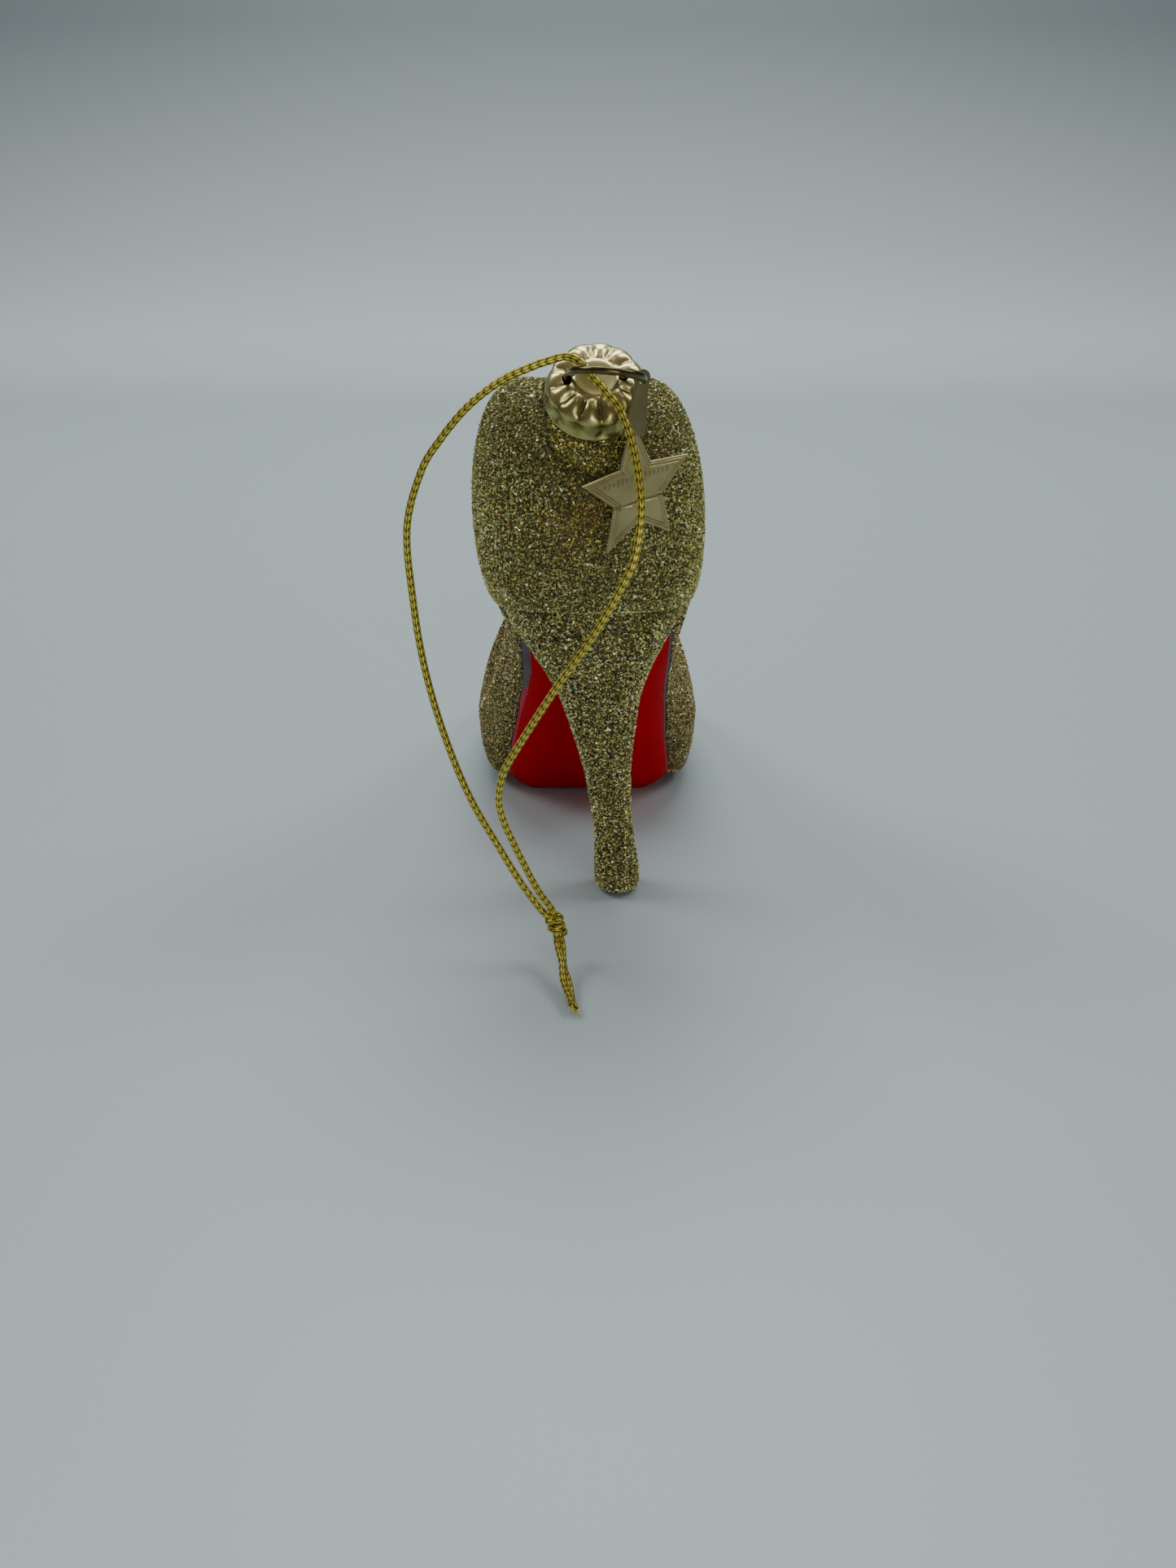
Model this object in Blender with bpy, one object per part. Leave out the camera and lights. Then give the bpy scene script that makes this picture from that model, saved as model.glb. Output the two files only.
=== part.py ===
"""A high-heeled shoe of blown glass that hangs by a cord or stands by itself.

The shoe stands on its heel tip and on the ball of its sole, with its toe towards +Y.
The origin is on the floor, under the middle of the ball. Sizes are in metres, and
places along the shoe are counted forward from the heel tip. The shoe is a free form:
its curves are shares of its length and of its height, from the counter's back to the toe
and from the floor to the rim.
"""

import math

import bmesh
import bpy
from mathutils import Matrix, Vector

MM = 0.001
GAP = 0.0003

# The stance and the main sizes of the shoe.
SHOE_LENGTH = 0.096
HEEL_INSET = 0.011
HEEL_TO_BALL = 0.046
RIM_HEIGHT = 0.07
SEAT_SHARE = 0.6
COUNTER_WIDTH = 0.0292
WAIST_WIDTH = 0.0238
BALL_WIDTH = 0.0378
OPENING_WIDTH = 0.018
OPENING_SETBACK = 0.01
THROAT_SHARE = 0.635
EDGE_SETBACK = 0.0016
EDGE_TOE_SETBACK = 0.0022
WALL_DRAFT = 0.0013
INSOLE_FILLET = 0.0008

# The heel.
HEEL_TOP_WIDTH = 0.0226
HEEL_NECK_WIDTH = 0.0052
HEEL_TIP_WIDTH = 0.0062
HEEL_TIP_LEAN = 0.0043
HEEL_FLAT_RADIUS = 0.002
HEEL_SINK = 0.001

# The glass neck under the cap, and the cap.
CAP_SIDE = 0.00087
CAP_SETBACK = 0.00365
CAP_BELOW_RIM = 0.0014
CAP_ELEVATION = 42.0
CAP_LIP_RADIUS = 0.0059
CAP_TOP_RADIUS = 0.00555
CAP_HEIGHT = 0.0034
CAP_DOME = 0.00025
CAP_SHEET = 0.00035
CAP_SHOULDER = 0.0005
CAP_ROLL = 0.0001
HOLE_EDGE = 0.0005
FLUTES = 15
FLUTE_DEPTH = 0.00035
NECK_CLEARANCE = 0.0004
NECK_WALL = 0.0005
NECK_ROOT = 0.004
BORE_DEPTH = 0.0046

# The hanger wire.
WIRE_DIAMETER = 0.0008
WIRE_LEG_SPREAD = 0.0032
WIRE_LEG_DEPTH = 0.0036
LOOP_RADIUS = 0.00385
LOOP_RISE = 0.0039
LOOP_LEAN = 0.0012
LOOP_PITCH = 31.0
LOOP_SLANT = 0.1
LOOP_CLOSING = 12.0

# The star tag.
TAG_RADIUS = 0.0077
TAG_INNER_SHARE = 0.46
TAG_THICKNESS = 0.0004
TAG_TURN = 9.0
TAG_YAW = 34.0
TAG_TILT = 3.0
TAB_WIDTH = 0.003
TAB_REACH = 0.012
TAB_SHIFT = 0.0001
EYE_WALL = 0.0006
TAG_HOOK_ANGLE = -12.0

# The cord.
CORD_DIAMETER = 0.0009
KNOT_WIDTH = 0.0026
KNOT_HEIGHT = 0.0031

# The main places and heights that these sizes give.
COUNTER_BACK = -HEEL_INSET
TOE_TIP = COUNTER_BACK + SHOE_LENGTH
THROAT = COUNTER_BACK + THROAT_SHARE * SHOE_LENGTH
OPENING_BACK = COUNTER_BACK + OPENING_SETBACK
SEAT_HEIGHT = SEAT_SHARE * RIM_HEIGHT
HEEL_TOP = SEAT_HEIGHT + HEEL_SINK
EDGE_BACK = COUNTER_BACK + EDGE_SETBACK
EDGE_TOE = TOE_TIP - EDGE_TOE_SETBACK


def smooth(stations, at):
    """Reads a curve through (place, value) stations that never overshoots them."""
    places = [place for place, value in stations]
    values = [value for place, value in stations]
    if at <= places[0]:
        return values[0]
    if at >= places[-1]:
        return values[-1]
    steps = [b - a for a, b in zip(places, places[1:])]
    slopes = [(b - a) / step for a, b, step in zip(values, values[1:], steps)]
    tangents = [slopes[0]]
    for before, after in zip(slopes, slopes[1:]):
        level = before * after <= 0
        tangents.append(0.0 if level else 2 * before * after / (before + after))
    tangents.append(slopes[-1])
    index = max(i for i, place in enumerate(places[:-1]) if place <= at)
    step = steps[index]
    t = (at - places[index]) / step
    start = values[index] * (1 + 2 * t) * (1 - t) ** 2 + tangents[index] * step * t * (1 - t) ** 2
    end = values[index + 1] * t * t * (3 - 2 * t) + tangents[index + 1] * step * t * t * (t - 1)
    return start + end


def along(pairs, scale=1.0):
    """Turns pairs of (share of the length, value) into stations along the shoe."""
    return tuple((COUNTER_BACK + share * SHOE_LENGTH, value * scale) for share, value in pairs)


def up_heel(pairs):
    """Turns pairs of (share of the heel's height, value) into stations up the heel."""
    return tuple((share * HEEL_TOP, value) for share, value in pairs)


# The bottom edge, where the sole's lacquer ends: its half widths and heights.
EDGE_HALF_WIDTH = along((
    (0.0, HEEL_TOP_WIDTH * 0.518),
    (0.135, HEEL_TOP_WIDTH * 0.513),
    (0.24, WAIST_WIDTH * 0.458),
    (0.3, WAIST_WIDTH * 0.46),
    (0.355, WAIST_WIDTH * 0.483),
    (0.427, BALL_WIDTH * 0.341),
    (0.474, BALL_WIDTH * 0.368),
    (0.573, BALL_WIDTH * 0.386),
    (0.698, BALL_WIDTH * 0.384),
))
EDGE_HEIGHT = along((
    (0.0, 0.632),
    (0.135, 0.594),
    (0.198, 0.551),
    (0.233, 0.503),
    (0.281, 0.420),
    (0.341, 0.312),
    (0.391, 0.217),
    (0.427, 0.142),
    (0.458, 0.078),
    (0.48, 0.042),
    (0.51, 0.022),
    (0.56, 0.017),
    (0.698, 0.021),
    (0.844, 0.034),
    (1.0, 0.061),
), RIM_HEIGHT)
SOLE_DEPTH = along((
    (0.0, 0.009),
    (0.2, 0.014),
    (0.3, 0.032),
    (0.4, 0.055),
    (0.44, 0.072),
    (0.467, 0.072),
    (0.5, 0.045),
    (0.6, 0.026),
    (1.0, 0.017),
), RIM_HEIGHT)
SOLE_SQUARENESS = 4

# The widest line of the upper.
WIDEST_HALF_WIDTH = along((
    (0.0, COUNTER_WIDTH / 2),
    (0.146, COUNTER_WIDTH / 2),
    (0.219, COUNTER_WIDTH * 0.479),
    (0.302, WAIST_WIDTH / 2),
    (0.365, WAIST_WIDTH * 0.555),
    (0.427, BALL_WIDTH * 0.415),
    (0.49, BALL_WIDTH * 0.471),
    (0.583, BALL_WIDTH / 2),
    (0.698, BALL_WIDTH * 0.492),
))
WIDEST_HEIGHT = along((
    (0.0, 0.786),
    (0.146, 0.743),
    (0.219, 0.643),
    (0.302, 0.507),
    (0.365, 0.393),
    (0.427, 0.286),
    (0.49, 0.207),
    (0.583, 0.157),
    (0.74, 0.123),
    (1.0, 0.103),
), RIM_HEIGHT)

# The edge of the foot opening.
OPENING_HALF_WIDTH = along((
    (0.104, OPENING_WIDTH * 0.45),
    (0.24, OPENING_WIDTH / 2),
    (0.385, OPENING_WIDTH * 0.533),
    (0.51, OPENING_WIDTH * 0.578),
))
OPENING_HEIGHT = along((
    (0.104, 1.0),
    (0.146, 0.996),
    (0.198, 0.951),
    (0.26, 0.864),
    (0.344, 0.721),
    (0.427, 0.571),
    (0.51, 0.436),
    (0.583, 0.336),
    (THROAT_SHARE, 0.293),
), RIM_HEIGHT)

# How far along the opening its edge is, beside each place on the widest line.
OPENING_PROGRESS = along((
    (0.0, 0.0),
    (0.052, 0.031),
    (0.146, 0.11),
    (0.271, 0.284),
    (0.5, 0.627),
    (0.74, 0.863),
    (1.0, 1.0),
))

# The insole, from the bottom of the opening's back to the end of its toe.
INSOLE_HEIGHT = along((
    (0.104, 0.691),
    (0.167, 0.66),
    (0.219, 0.603),
    (0.281, 0.506),
    (0.344, 0.386),
    (0.406, 0.251),
    (0.469, 0.137),
    (0.531, 0.086),
    (THROAT_SHARE, 0.069),
), RIM_HEIGHT)

# The middle line bends a little, as a right shoe's does, and the upper swells to its left.
MIDDLE = along((
    (0.0, 0.0),
    (0.177, 0.001),
    (0.26, 0.011),
    (0.35, 0.02),
    (0.427, 0.003),
    (0.583, -0.005),
    (0.802, -0.013),
    (1.0, -0.037),
), BALL_WIDTH)
SWELL = along(((0.1, 0.0), (0.26, -0.008), (0.35, -0.016), (0.427, 0.0)), BALL_WIDTH)

# The counter leans a little to the left about a height on its back.
COUNTER_LEAN = along(((0.0, 0.04), (0.219, 0.04), (0.35, 0.0)))
LEAN_HEIGHT = 0.81 * RIM_HEIGHT

# How sharply the upper tucks in under its widest line (less is squarer), and how full it
# is above that line (1 is a rounded shoulder, 0 is straight).
TUCK = along(((0.0, 1.0), (0.26, 0.9), (0.4, 0.5), (0.5, 0.5), (0.7, 0.45), (1.0, 0.5)))
FULLNESS = along((
    (0.0, 1.0),
    (0.177, 1.0),
    (0.323, 0.45),
    (0.406, 0.22),
    (0.531, 0.4),
    (0.698, 0.6),
    (1.0, 0.5),
))
SHOULDER_POWER = 0.93

# How far from each end an outline starts to round, and how full that rounding is.
EDGE_ENDS = (0.12 * SHOE_LENGTH, 0.5, 0.31 * SHOE_LENGTH, 0.6)
WIDEST_ENDS = (0.14 * SHOE_LENGTH, 0.5, 0.32 * SHOE_LENGTH, 0.58)
OPENING_ENDS = (0.083 * SHOE_LENGTH, 0.5, 0.135 * SHOE_LENGTH, 0.5)

# Where the spines start and end that the sole and the insole are drawn in towards.
SOLE_SPINE = (EDGE_BACK + 0.094 * SHOE_LENGTH, EDGE_TOE - 0.104 * SHOE_LENGTH)
INSOLE_SPINE = (OPENING_BACK + 0.073 * SHOE_LENGTH, THROAT - 0.083 * SHOE_LENGTH)

STATIONS = 36
SOLE_SHARES = (0.0, 0.4, 0.7, 0.86, 0.95)
LOWER_STEPS = 5
UPPER_STEPS = 8
WALL_SHARES = ((0.2, 0.03), (0.5, 0.14), (0.75, 0.5), (0.9, 0.88), (1.0, 1.0))
FLOOR_SHARES = (0.9, 0.5, 0.0)


def spread(share, start, end):
    """Places a station between two ends, closer together near both."""
    return start + (end - start) * (1 - math.cos(math.pi * share)) / 2


def rounded(place, back, front, ends):
    """How far an outline has narrowed near its back or its front."""
    back_length, back_power, front_length, front_power = ends
    from_back = min(max(1 - (place - back) / back_length, 0.0), 1.0)
    from_front = min(max(1 - (front - place) / front_length, 0.0), 1.0)
    return (1 - from_back * from_back) ** back_power * (1 - from_front * from_front) ** front_power


def edge_point(share):
    place = spread(share, EDGE_BACK, EDGE_TOE)
    width = smooth(EDGE_HALF_WIDTH, place) * rounded(place, EDGE_BACK, EDGE_TOE, EDGE_ENDS)
    return width, place, smooth(EDGE_HEIGHT, place), 0.0


def widest_point(share):
    place = spread(share, COUNTER_BACK, TOE_TIP)
    width = smooth(WIDEST_HALF_WIDTH, place) * rounded(place, COUNTER_BACK, TOE_TIP, WIDEST_ENDS)
    return width, place, smooth(WIDEST_HEIGHT, place), 1.0


def opening_point(share, inset=0.0):
    back = OPENING_BACK + inset
    front = THROAT - inset
    progress = smooth(OPENING_PROGRESS, spread(share, COUNTER_BACK, TOE_TIP))
    place = back + (front - back) * progress
    width = (smooth(OPENING_HALF_WIDTH, place) - inset) * rounded(place, back, front, OPENING_ENDS)
    return width, place, smooth(OPENING_HEIGHT, place), 0.0


def world(width, place, height, swell, side):
    """Turns a half width and a place along the shoe into a point, left or right."""
    middle = smooth(MIDDLE, place) + swell * smooth(SWELL, place)
    middle += smooth(COUNTER_LEAN, place) * (LEAN_HEIGHT - height)
    return Vector((middle + side * width, place - HEEL_TO_BALL, height))


def blend(start, end, across, up):
    """A point between two: across for its plan, up for its height."""
    shares = (across, across, up, across)
    return tuple(a + (b - a) * share for a, b, share in zip(start, end, shares))


def inward(outline_point, share, spine):
    """Moves a point of an outline towards the spine that runs down its middle."""
    width, place = outline_point[:2]
    middle = min(max(place, spine[0]), spine[1])
    return width * share, middle + (place - middle) * share


def shoe_ring(profile):
    """Runs a profile function round the shoe: up its left side and back down its right."""
    shares = [i / STATIONS for i in range(STATIONS + 1)]
    left = [world(*profile(share), -1) for share in shares]
    right = [world(*profile(share), 1) for share in reversed(shares[1:-1])]
    return left + right


def sole_profile(ring_share):
    def profile(share):
        width, place = inward(edge_point(share), ring_share, SOLE_SPINE)
        depth = smooth(SOLE_DEPTH, place) * (1 - ring_share ** SOLE_SQUARENESS)
        return width, place, max(smooth(EDGE_HEIGHT, place) - depth, 0.0), 0.0
    return profile


def lower_profile(t):
    """The underside of the upper, from the bottom edge out to the widest line."""
    def profile(share):
        widest = widest_point(share)
        out = math.sin(math.pi / 2 * t) ** smooth(TUCK, widest[1])
        return blend(edge_point(share), widest, out, 1 - math.cos(math.pi / 2 * t))
    return profile


def upper_profile(t):
    """The upper, from its widest line to the edge of the foot opening."""
    inwards = 1 - math.cos(math.pi / 2 * t) ** SHOULDER_POWER if t < 1 else 1.0
    upwards = math.sin(math.pi / 2 * t) ** SHOULDER_POWER

    def profile(share):
        widest = widest_point(share)
        full = smooth(FULLNESS, widest[1])
        across = full * inwards + (1 - full) * t
        return blend(widest, opening_point(share), across, full * upwards + (1 - full) * t)
    return profile


def wall_profile(across, down):
    """The inner wall, from the edge of the opening down to the insole."""
    def profile(share):
        width, place = opening_point(share, WALL_DRAFT)[:2]
        foot = (width, place, smooth(INSOLE_HEIGHT, place) + INSOLE_FILLET, 0.0)
        return blend(opening_point(share), foot, across, down)
    return profile


def floor_profile(ring_share):
    """The insole, slightly cupped, from the wall to its middle line."""
    def profile(share):
        width, place = inward(opening_point(share, WALL_DRAFT), ring_share, INSOLE_SPINE)
        return width, place, smooth(INSOLE_HEIGHT, place) + INSOLE_FILLET * ring_share ** 4, 0.0
    return profile


def shoe_profiles():
    profiles = [sole_profile(share) for share in SOLE_SHARES]
    profiles += [edge_point]
    profiles += [lower_profile(step / LOWER_STEPS) for step in range(1, LOWER_STEPS + 1)]
    profiles += [upper_profile(step / UPPER_STEPS) for step in range(1, UPPER_STEPS + 1)]
    profiles += [wall_profile(across, down) for across, down in WALL_SHARES]
    profiles += [floor_profile(share) for share in FLOOR_SHARES]
    return profiles


def mesh_object(name, rings, closed_ends=True):
    """Skins closed rings of points, in order, and closes the two ends."""
    mesh = bpy.data.meshes.new(name)
    bm = bmesh.new()
    loops = [[bm.verts.new(point) for point in ring] for ring in rings]
    for lower, upper in zip(loops, loops[1:]):
        count = len(lower)
        for i in range(count):
            j = (i + 1) % count
            bm.faces.new((lower[i], lower[j], upper[j], upper[i]))
    if closed_ends:
        bm.faces.new(list(reversed(loops[0])))
        bm.faces.new(loops[-1])
    bmesh.ops.remove_doubles(bm, verts=bm.verts, dist=0.00001)
    bmesh.ops.recalc_face_normals(bm, faces=bm.faces)
    bm.to_mesh(mesh)
    bm.free()
    mesh.shade_smooth()
    mesh.set_sharp_from_angle(angle=math.radians(40))
    piece = bpy.data.objects.new(name, mesh)
    bpy.context.collection.objects.link(piece)
    return piece


def paint(piece, color, roughness, metallic=0.0):
    """Gives a piece its own Principled material."""
    material = bpy.data.materials.new(piece.name)
    material.use_nodes = True
    shader = material.node_tree.nodes["Principled BSDF"]
    shader.inputs["Base Color"].default_value = (*color, 1)
    shader.inputs["Roughness"].default_value = roughness
    shader.inputs["Metallic"].default_value = metallic
    piece.data.materials.append(material)
    return piece


def boolean(piece, helper, operation):
    modifier = piece.modifiers.new(helper.name, "BOOLEAN")
    modifier.operation = operation
    modifier.solver = "EXACT"
    modifier.object = helper
    helper.hide_render = True
    helper.display_type = "WIRE"


# The heel, as shares of its height: half widths, lean to the right, back and breast.
HEEL_HALF_WIDTH = up_heel((
    (0.0, HEEL_FLAT_RADIUS),
    (0.014, HEEL_TIP_WIDTH * 0.444),
    (0.049, HEEL_TIP_WIDTH / 2),
    (0.133, HEEL_TIP_WIDTH * 0.468),
    (0.221, HEEL_NECK_WIDTH / 2),
    (0.412, HEEL_NECK_WIDTH * 0.567),
    (0.591, HEEL_NECK_WIDTH * 0.808),
    (0.7, HEEL_TOP_WIDTH * 0.235),
    (0.772, HEEL_TOP_WIDTH * 0.292),
    (0.872, HEEL_TOP_WIDTH * 0.4),
    (0.937, HEEL_TOP_WIDTH * 0.469),
    (1.0, HEEL_TOP_WIDTH / 2),
))
HEEL_LEAN = up_heel((
    (0.0, HEEL_TIP_LEAN),
    (0.133, HEEL_TIP_LEAN * 0.92),
    (0.412, HEEL_TIP_LEAN * 0.65),
    (0.591, HEEL_TIP_LEAN * 0.48),
    (0.772, HEEL_TIP_LEAN * 0.29),
    (0.937, HEEL_TIP_LEAN * 0.14),
    (1.0, HEEL_TIP_LEAN * 0.07),
))
HEEL_REAR = up_heel((
    (0.0, -HEEL_FLAT_RADIUS),
    (0.049, -HEEL_TIP_WIDTH / 2),
    (0.221, HEEL_NECK_WIDTH * -0.538),
    (0.412, HEEL_NECK_WIDTH * -0.692),
    (0.591, COUNTER_BACK * 0.445),
    (0.772, COUNTER_BACK * 0.63),
    (0.937, COUNTER_BACK * 0.82),
    (1.0, COUNTER_BACK * 0.845),
))
HEEL_BREAST = up_heel((
    (0.0, HEEL_FLAT_RADIUS),
    (0.049, HEEL_TIP_WIDTH / 2),
    (0.221, HEEL_NECK_WIDTH * 0.462),
    (0.412, HEEL_NECK_WIDTH * 0.462),
    (0.591, HEEL_NECK_WIDTH * 0.635),
    (0.772, HEEL_TOP_WIDTH * 0.257),
    (0.937, HEEL_TOP_WIDTH * 0.372),
    (1.0, HEEL_TOP_WIDTH * 0.407),
))
HEEL_TILT = up_heel(((0.0, 0.0), (0.591, 0.0), (0.772, 0.14), (1.0, 0.32)))
HEEL_RINGS = (0.0, 0.006, 0.014, 0.028, 0.049, 0.088, 0.133, 0.221, 0.316, 0.412, 0.5, 0.591,
              0.66, 0.721, 0.779, 0.837, 0.893, 0.937, 1.0)
HEEL_SIDES = 24


def heel_rings():
    rings = []
    for height in (share * HEEL_TOP for share in HEEL_RINGS):
        half_width = smooth(HEEL_HALF_WIDTH, height)
        rear = smooth(HEEL_REAR, height)
        breast = smooth(HEEL_BREAST, height)
        lean = smooth(HEEL_LEAN, height)
        tilt = smooth(HEEL_TILT, height)
        ring = []
        for i in range(HEEL_SIDES):
            angle = 2 * math.pi * i / HEEL_SIDES
            forward = (breast - rear) / 2 * math.sin(angle)
            place = (breast + rear) / 2 + forward
            across = lean + half_width * math.cos(angle)
            ring.append(Vector((across, place - HEEL_TO_BALL, height - tilt * forward)))
        rings.append(ring)
    return rings


def cap_frame():
    """The cap's own axes: X across, Y up and forward over the shoe, Z out along its axis."""
    elevation = math.radians(CAP_ELEVATION)
    out = Vector((0, -math.cos(elevation), math.sin(elevation)))
    up = Vector((0, math.sin(elevation), math.cos(elevation)))
    cap_back = COUNTER_BACK + CAP_SETBACK - HEEL_TO_BALL
    place = Vector((CAP_SIDE, cap_back, RIM_HEIGHT - CAP_BELOW_RIM))
    axes = Matrix((Vector((1, 0, 0)), up, out)).transposed()
    return Matrix.Translation(place) @ axes.to_4x4()


def turned(name, profile, sides, frame, flute=0.0):
    """Turns a closed profile of (radius, height, share of flute) about the frame's Z axis."""
    rings = []
    for radius, height, share in profile:
        ring = []
        for i in range(sides):
            angle = 2 * math.pi * i / sides
            r = radius - flute * share * (1 - math.cos(FLUTES * angle)) / 2
            ring.append(frame @ Vector((r * math.cos(angle), r * math.sin(angle), height)))
        rings.append(ring)
    return mesh_object(name, rings)


def rod(name, radius, bottom, top, sides, frame):
    return turned(name, [(radius, bottom, 0), (radius, top, 0)], sides, frame)


def make_shoe():
    rings = [shoe_ring(profile) for profile in shoe_profiles()]
    shoe = mesh_object("shoe", rings, closed_ends=False)
    frame = cap_frame()
    neck_radius = CAP_TOP_RADIUS - FLUTE_DEPTH - CAP_SHEET - NECK_CLEARANCE
    neck_top = CAP_HEIGHT - CAP_SHEET - GAP
    neck = rod("neck_form", neck_radius, -NECK_ROOT, neck_top, 32, frame)
    bore_radius = neck_radius - NECK_WALL
    bore = rod("bore_form", bore_radius, neck_top - BORE_DEPTH, neck_top + 2 * GAP, 24, frame)
    boolean(shoe, mesh_object("heel_form", heel_rings()), "UNION")
    boolean(shoe, neck, "UNION")
    boolean(shoe, bore, "DIFFERENCE")
    return paint(shoe, (0.36, 0.31, 0.13), 0.45, 0.3)


def make_cap():
    """A fluted sheet-metal crown over the neck, with two holes for the hanger wire."""
    frame = cap_frame()
    top = CAP_HEIGHT
    sheet = CAP_SHEET
    flat = WIRE_LEG_SPREAD + WIRE_DIAMETER / 2 + GAP + HOLE_EDGE
    inner_top = CAP_TOP_RADIUS - sheet
    profile = [
        (0.0, top + CAP_DOME, 0),
        (flat, top + CAP_DOME / 2, 0),
        (CAP_TOP_RADIUS - CAP_SHOULDER, top * 0.97, 0.7),
        (CAP_TOP_RADIUS, top * 0.78, 1),
        (CAP_TOP_RADIUS + CAP_ROLL, top * 0.44, 1),
        (CAP_LIP_RADIUS - CAP_ROLL, top * 0.15, 0.35),
        (CAP_LIP_RADIUS, top * 0.075, 0),
        (CAP_LIP_RADIUS - CAP_ROLL, 0.0, 0),
        (CAP_LIP_RADIUS - sheet, 0.0, 0),
        (CAP_LIP_RADIUS - sheet - CAP_ROLL, top * 0.15, 0.35),
        (inner_top + CAP_ROLL, top * 0.44, 1),
        (inner_top, top * 0.765, 1),
        (inner_top - CAP_SHOULDER, (top - sheet) * 0.95, 0.7),
        (flat, top - sheet, 0),
        (0.0, top - sheet, 0),
    ]
    cap = turned("cap", profile, FLUTES * 4, frame, FLUTE_DEPTH)
    for name, side in (("left_hole_form", -1), ("right_hole_form", 1)):
        leg = frame @ Matrix.Translation(Vector((side * WIRE_LEG_SPREAD, 0, 0)))
        hole = rod(name, WIRE_DIAMETER / 2 + GAP, top - 2 * sheet, top + CAP_DOME + sheet, 12, leg)
        boolean(cap, hole, "DIFFERENCE")
    return paint(cap, (0.75, 0.68, 0.5), 0.25, 1.0)


def flowing(route, step):
    """Reads points a step apart from the smooth curve through a route's points."""
    dense = []
    padded = [2 * route[0] - route[1]] + route + [2 * route[-1] - route[-2]]
    for before, start, end, after in zip(padded, padded[1:], padded[2:], padded[3:]):
        for i in range(12):
            t = i / 12
            point = 0.5 * (2 * start + (end - before) * t
                           + (2 * before - 5 * start + 4 * end - after) * t * t
                           + (3 * start - before - 3 * end + after) * t ** 3)
            dense.append(point)
    dense.append(route[-1])
    length = sum((b - a).length for a, b in zip(dense, dense[1:]))
    count = max(round(length / step), 1)
    points = [dense[0]]
    travelled = 0.0
    for a, b in zip(dense, dense[1:]):
        stretch = (b - a).length
        while len(points) < count and travelled + stretch >= len(points) * length / count:
            share = (len(points) * length / count - travelled) / stretch
            points.append(a.lerp(b, share))
        travelled += stretch
    points.append(dense[-1])
    return points


def tube(name, points, diameter, resolution=2):
    """A round tube along points."""
    curve = bpy.data.curves.new(name, "CURVE")
    curve.dimensions = "3D"
    curve.bevel_depth = diameter / 2
    curve.bevel_resolution = resolution
    curve.use_fill_caps = True
    spline = curve.splines.new("POLY")
    spline.points.add(len(points) - 1)
    for spot, point in zip(spline.points, points):
        spot.co = (*point, 1)
    piece = bpy.data.objects.new(name, curve)
    bpy.context.collection.objects.link(piece)
    return piece


def loop_point(angle):
    """A point of the hanger wire's loop; angles are counted from its right-hand side."""
    pitch = math.radians(LOOP_PITCH)
    across = LOOP_LEAN + LOOP_RADIUS * math.cos(math.radians(angle))
    rise = LOOP_RISE + LOOP_RADIUS * math.sin(math.radians(angle))
    drop = rise * math.sin(pitch) + LOOP_SLANT * (across + WIRE_LEG_SPREAD)
    return Vector((across, -drop, CAP_HEIGHT + CAP_DOME + GAP + rise * math.cos(pitch)))


def wire_route():
    """The hanger wire: out of the neck, round its loop, and back into the neck."""
    leg_foot = CAP_HEIGHT - WIRE_LEG_DEPTH
    leg_top = CAP_HEIGHT + CAP_DOME + GAP
    sweep = 180 + 2 * LOOP_CLOSING
    left = [Vector((-WIRE_LEG_SPREAD, 0, leg_foot)), Vector((-WIRE_LEG_SPREAD, 0, leg_top))]
    loop = [loop_point(180 + LOOP_CLOSING - sweep * i / 12) for i in range(13)]
    right = [Vector((WIRE_LEG_SPREAD, 0, leg_top)), Vector((WIRE_LEG_SPREAD, 0, leg_foot))]
    return [cap_frame() @ point for point in left + loop + right]


def make_wire():
    wire = tube("hanger_wire", flowing(wire_route(), 1.25 * WIRE_DIAMETER), WIRE_DIAMETER)
    return paint(wire, (0.6, 0.55, 0.42), 0.2, 1.0)


def tag_outline():
    """A five-pointed star whose top point runs up into a round-ended tab."""
    turn = math.radians(TAG_TURN)
    eye_radius = WIRE_DIAMETER / 2 + GAP + EYE_WALL
    points = []
    for i in range(1, 10):
        angle = math.pi / 2 + turn + i * math.pi / 5
        radius = TAG_RADIUS if i % 2 == 0 else TAG_RADIUS * TAG_INNER_SHARE
        points.append(Vector((radius * math.cos(angle), radius * math.sin(angle))))
    side = Vector((TAB_WIDTH / 2, 0))
    arm = TAG_RADIUS * 0.8 * Vector((-math.sin(turn), math.cos(turn)))
    points.append(arm + side)
    for i in range(9):
        angle = -math.pi / 5 + (math.pi + 2 * math.pi / 5) * i / 8
        around = eye_radius * Vector((math.cos(angle), math.sin(angle)))
        points.append(Vector((-TAB_SHIFT, TAB_REACH)) + around)
    points.append(arm - side)
    return points


def tag_frame():
    """The tag hangs from the right of the wire's loop and leans back on the counter."""
    hook = cap_frame() @ loop_point(TAG_HOOK_ANGLE)
    yaw = Matrix.Rotation(math.radians(TAG_YAW), 4, "Z")
    tilt = Matrix.Rotation(math.radians(90 + TAG_TILT), 4, "X")
    middle = Matrix.Translation(Vector((TAB_SHIFT, -TAB_REACH, 0)))
    return Matrix.Translation(hook) @ yaw @ tilt @ middle


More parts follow.
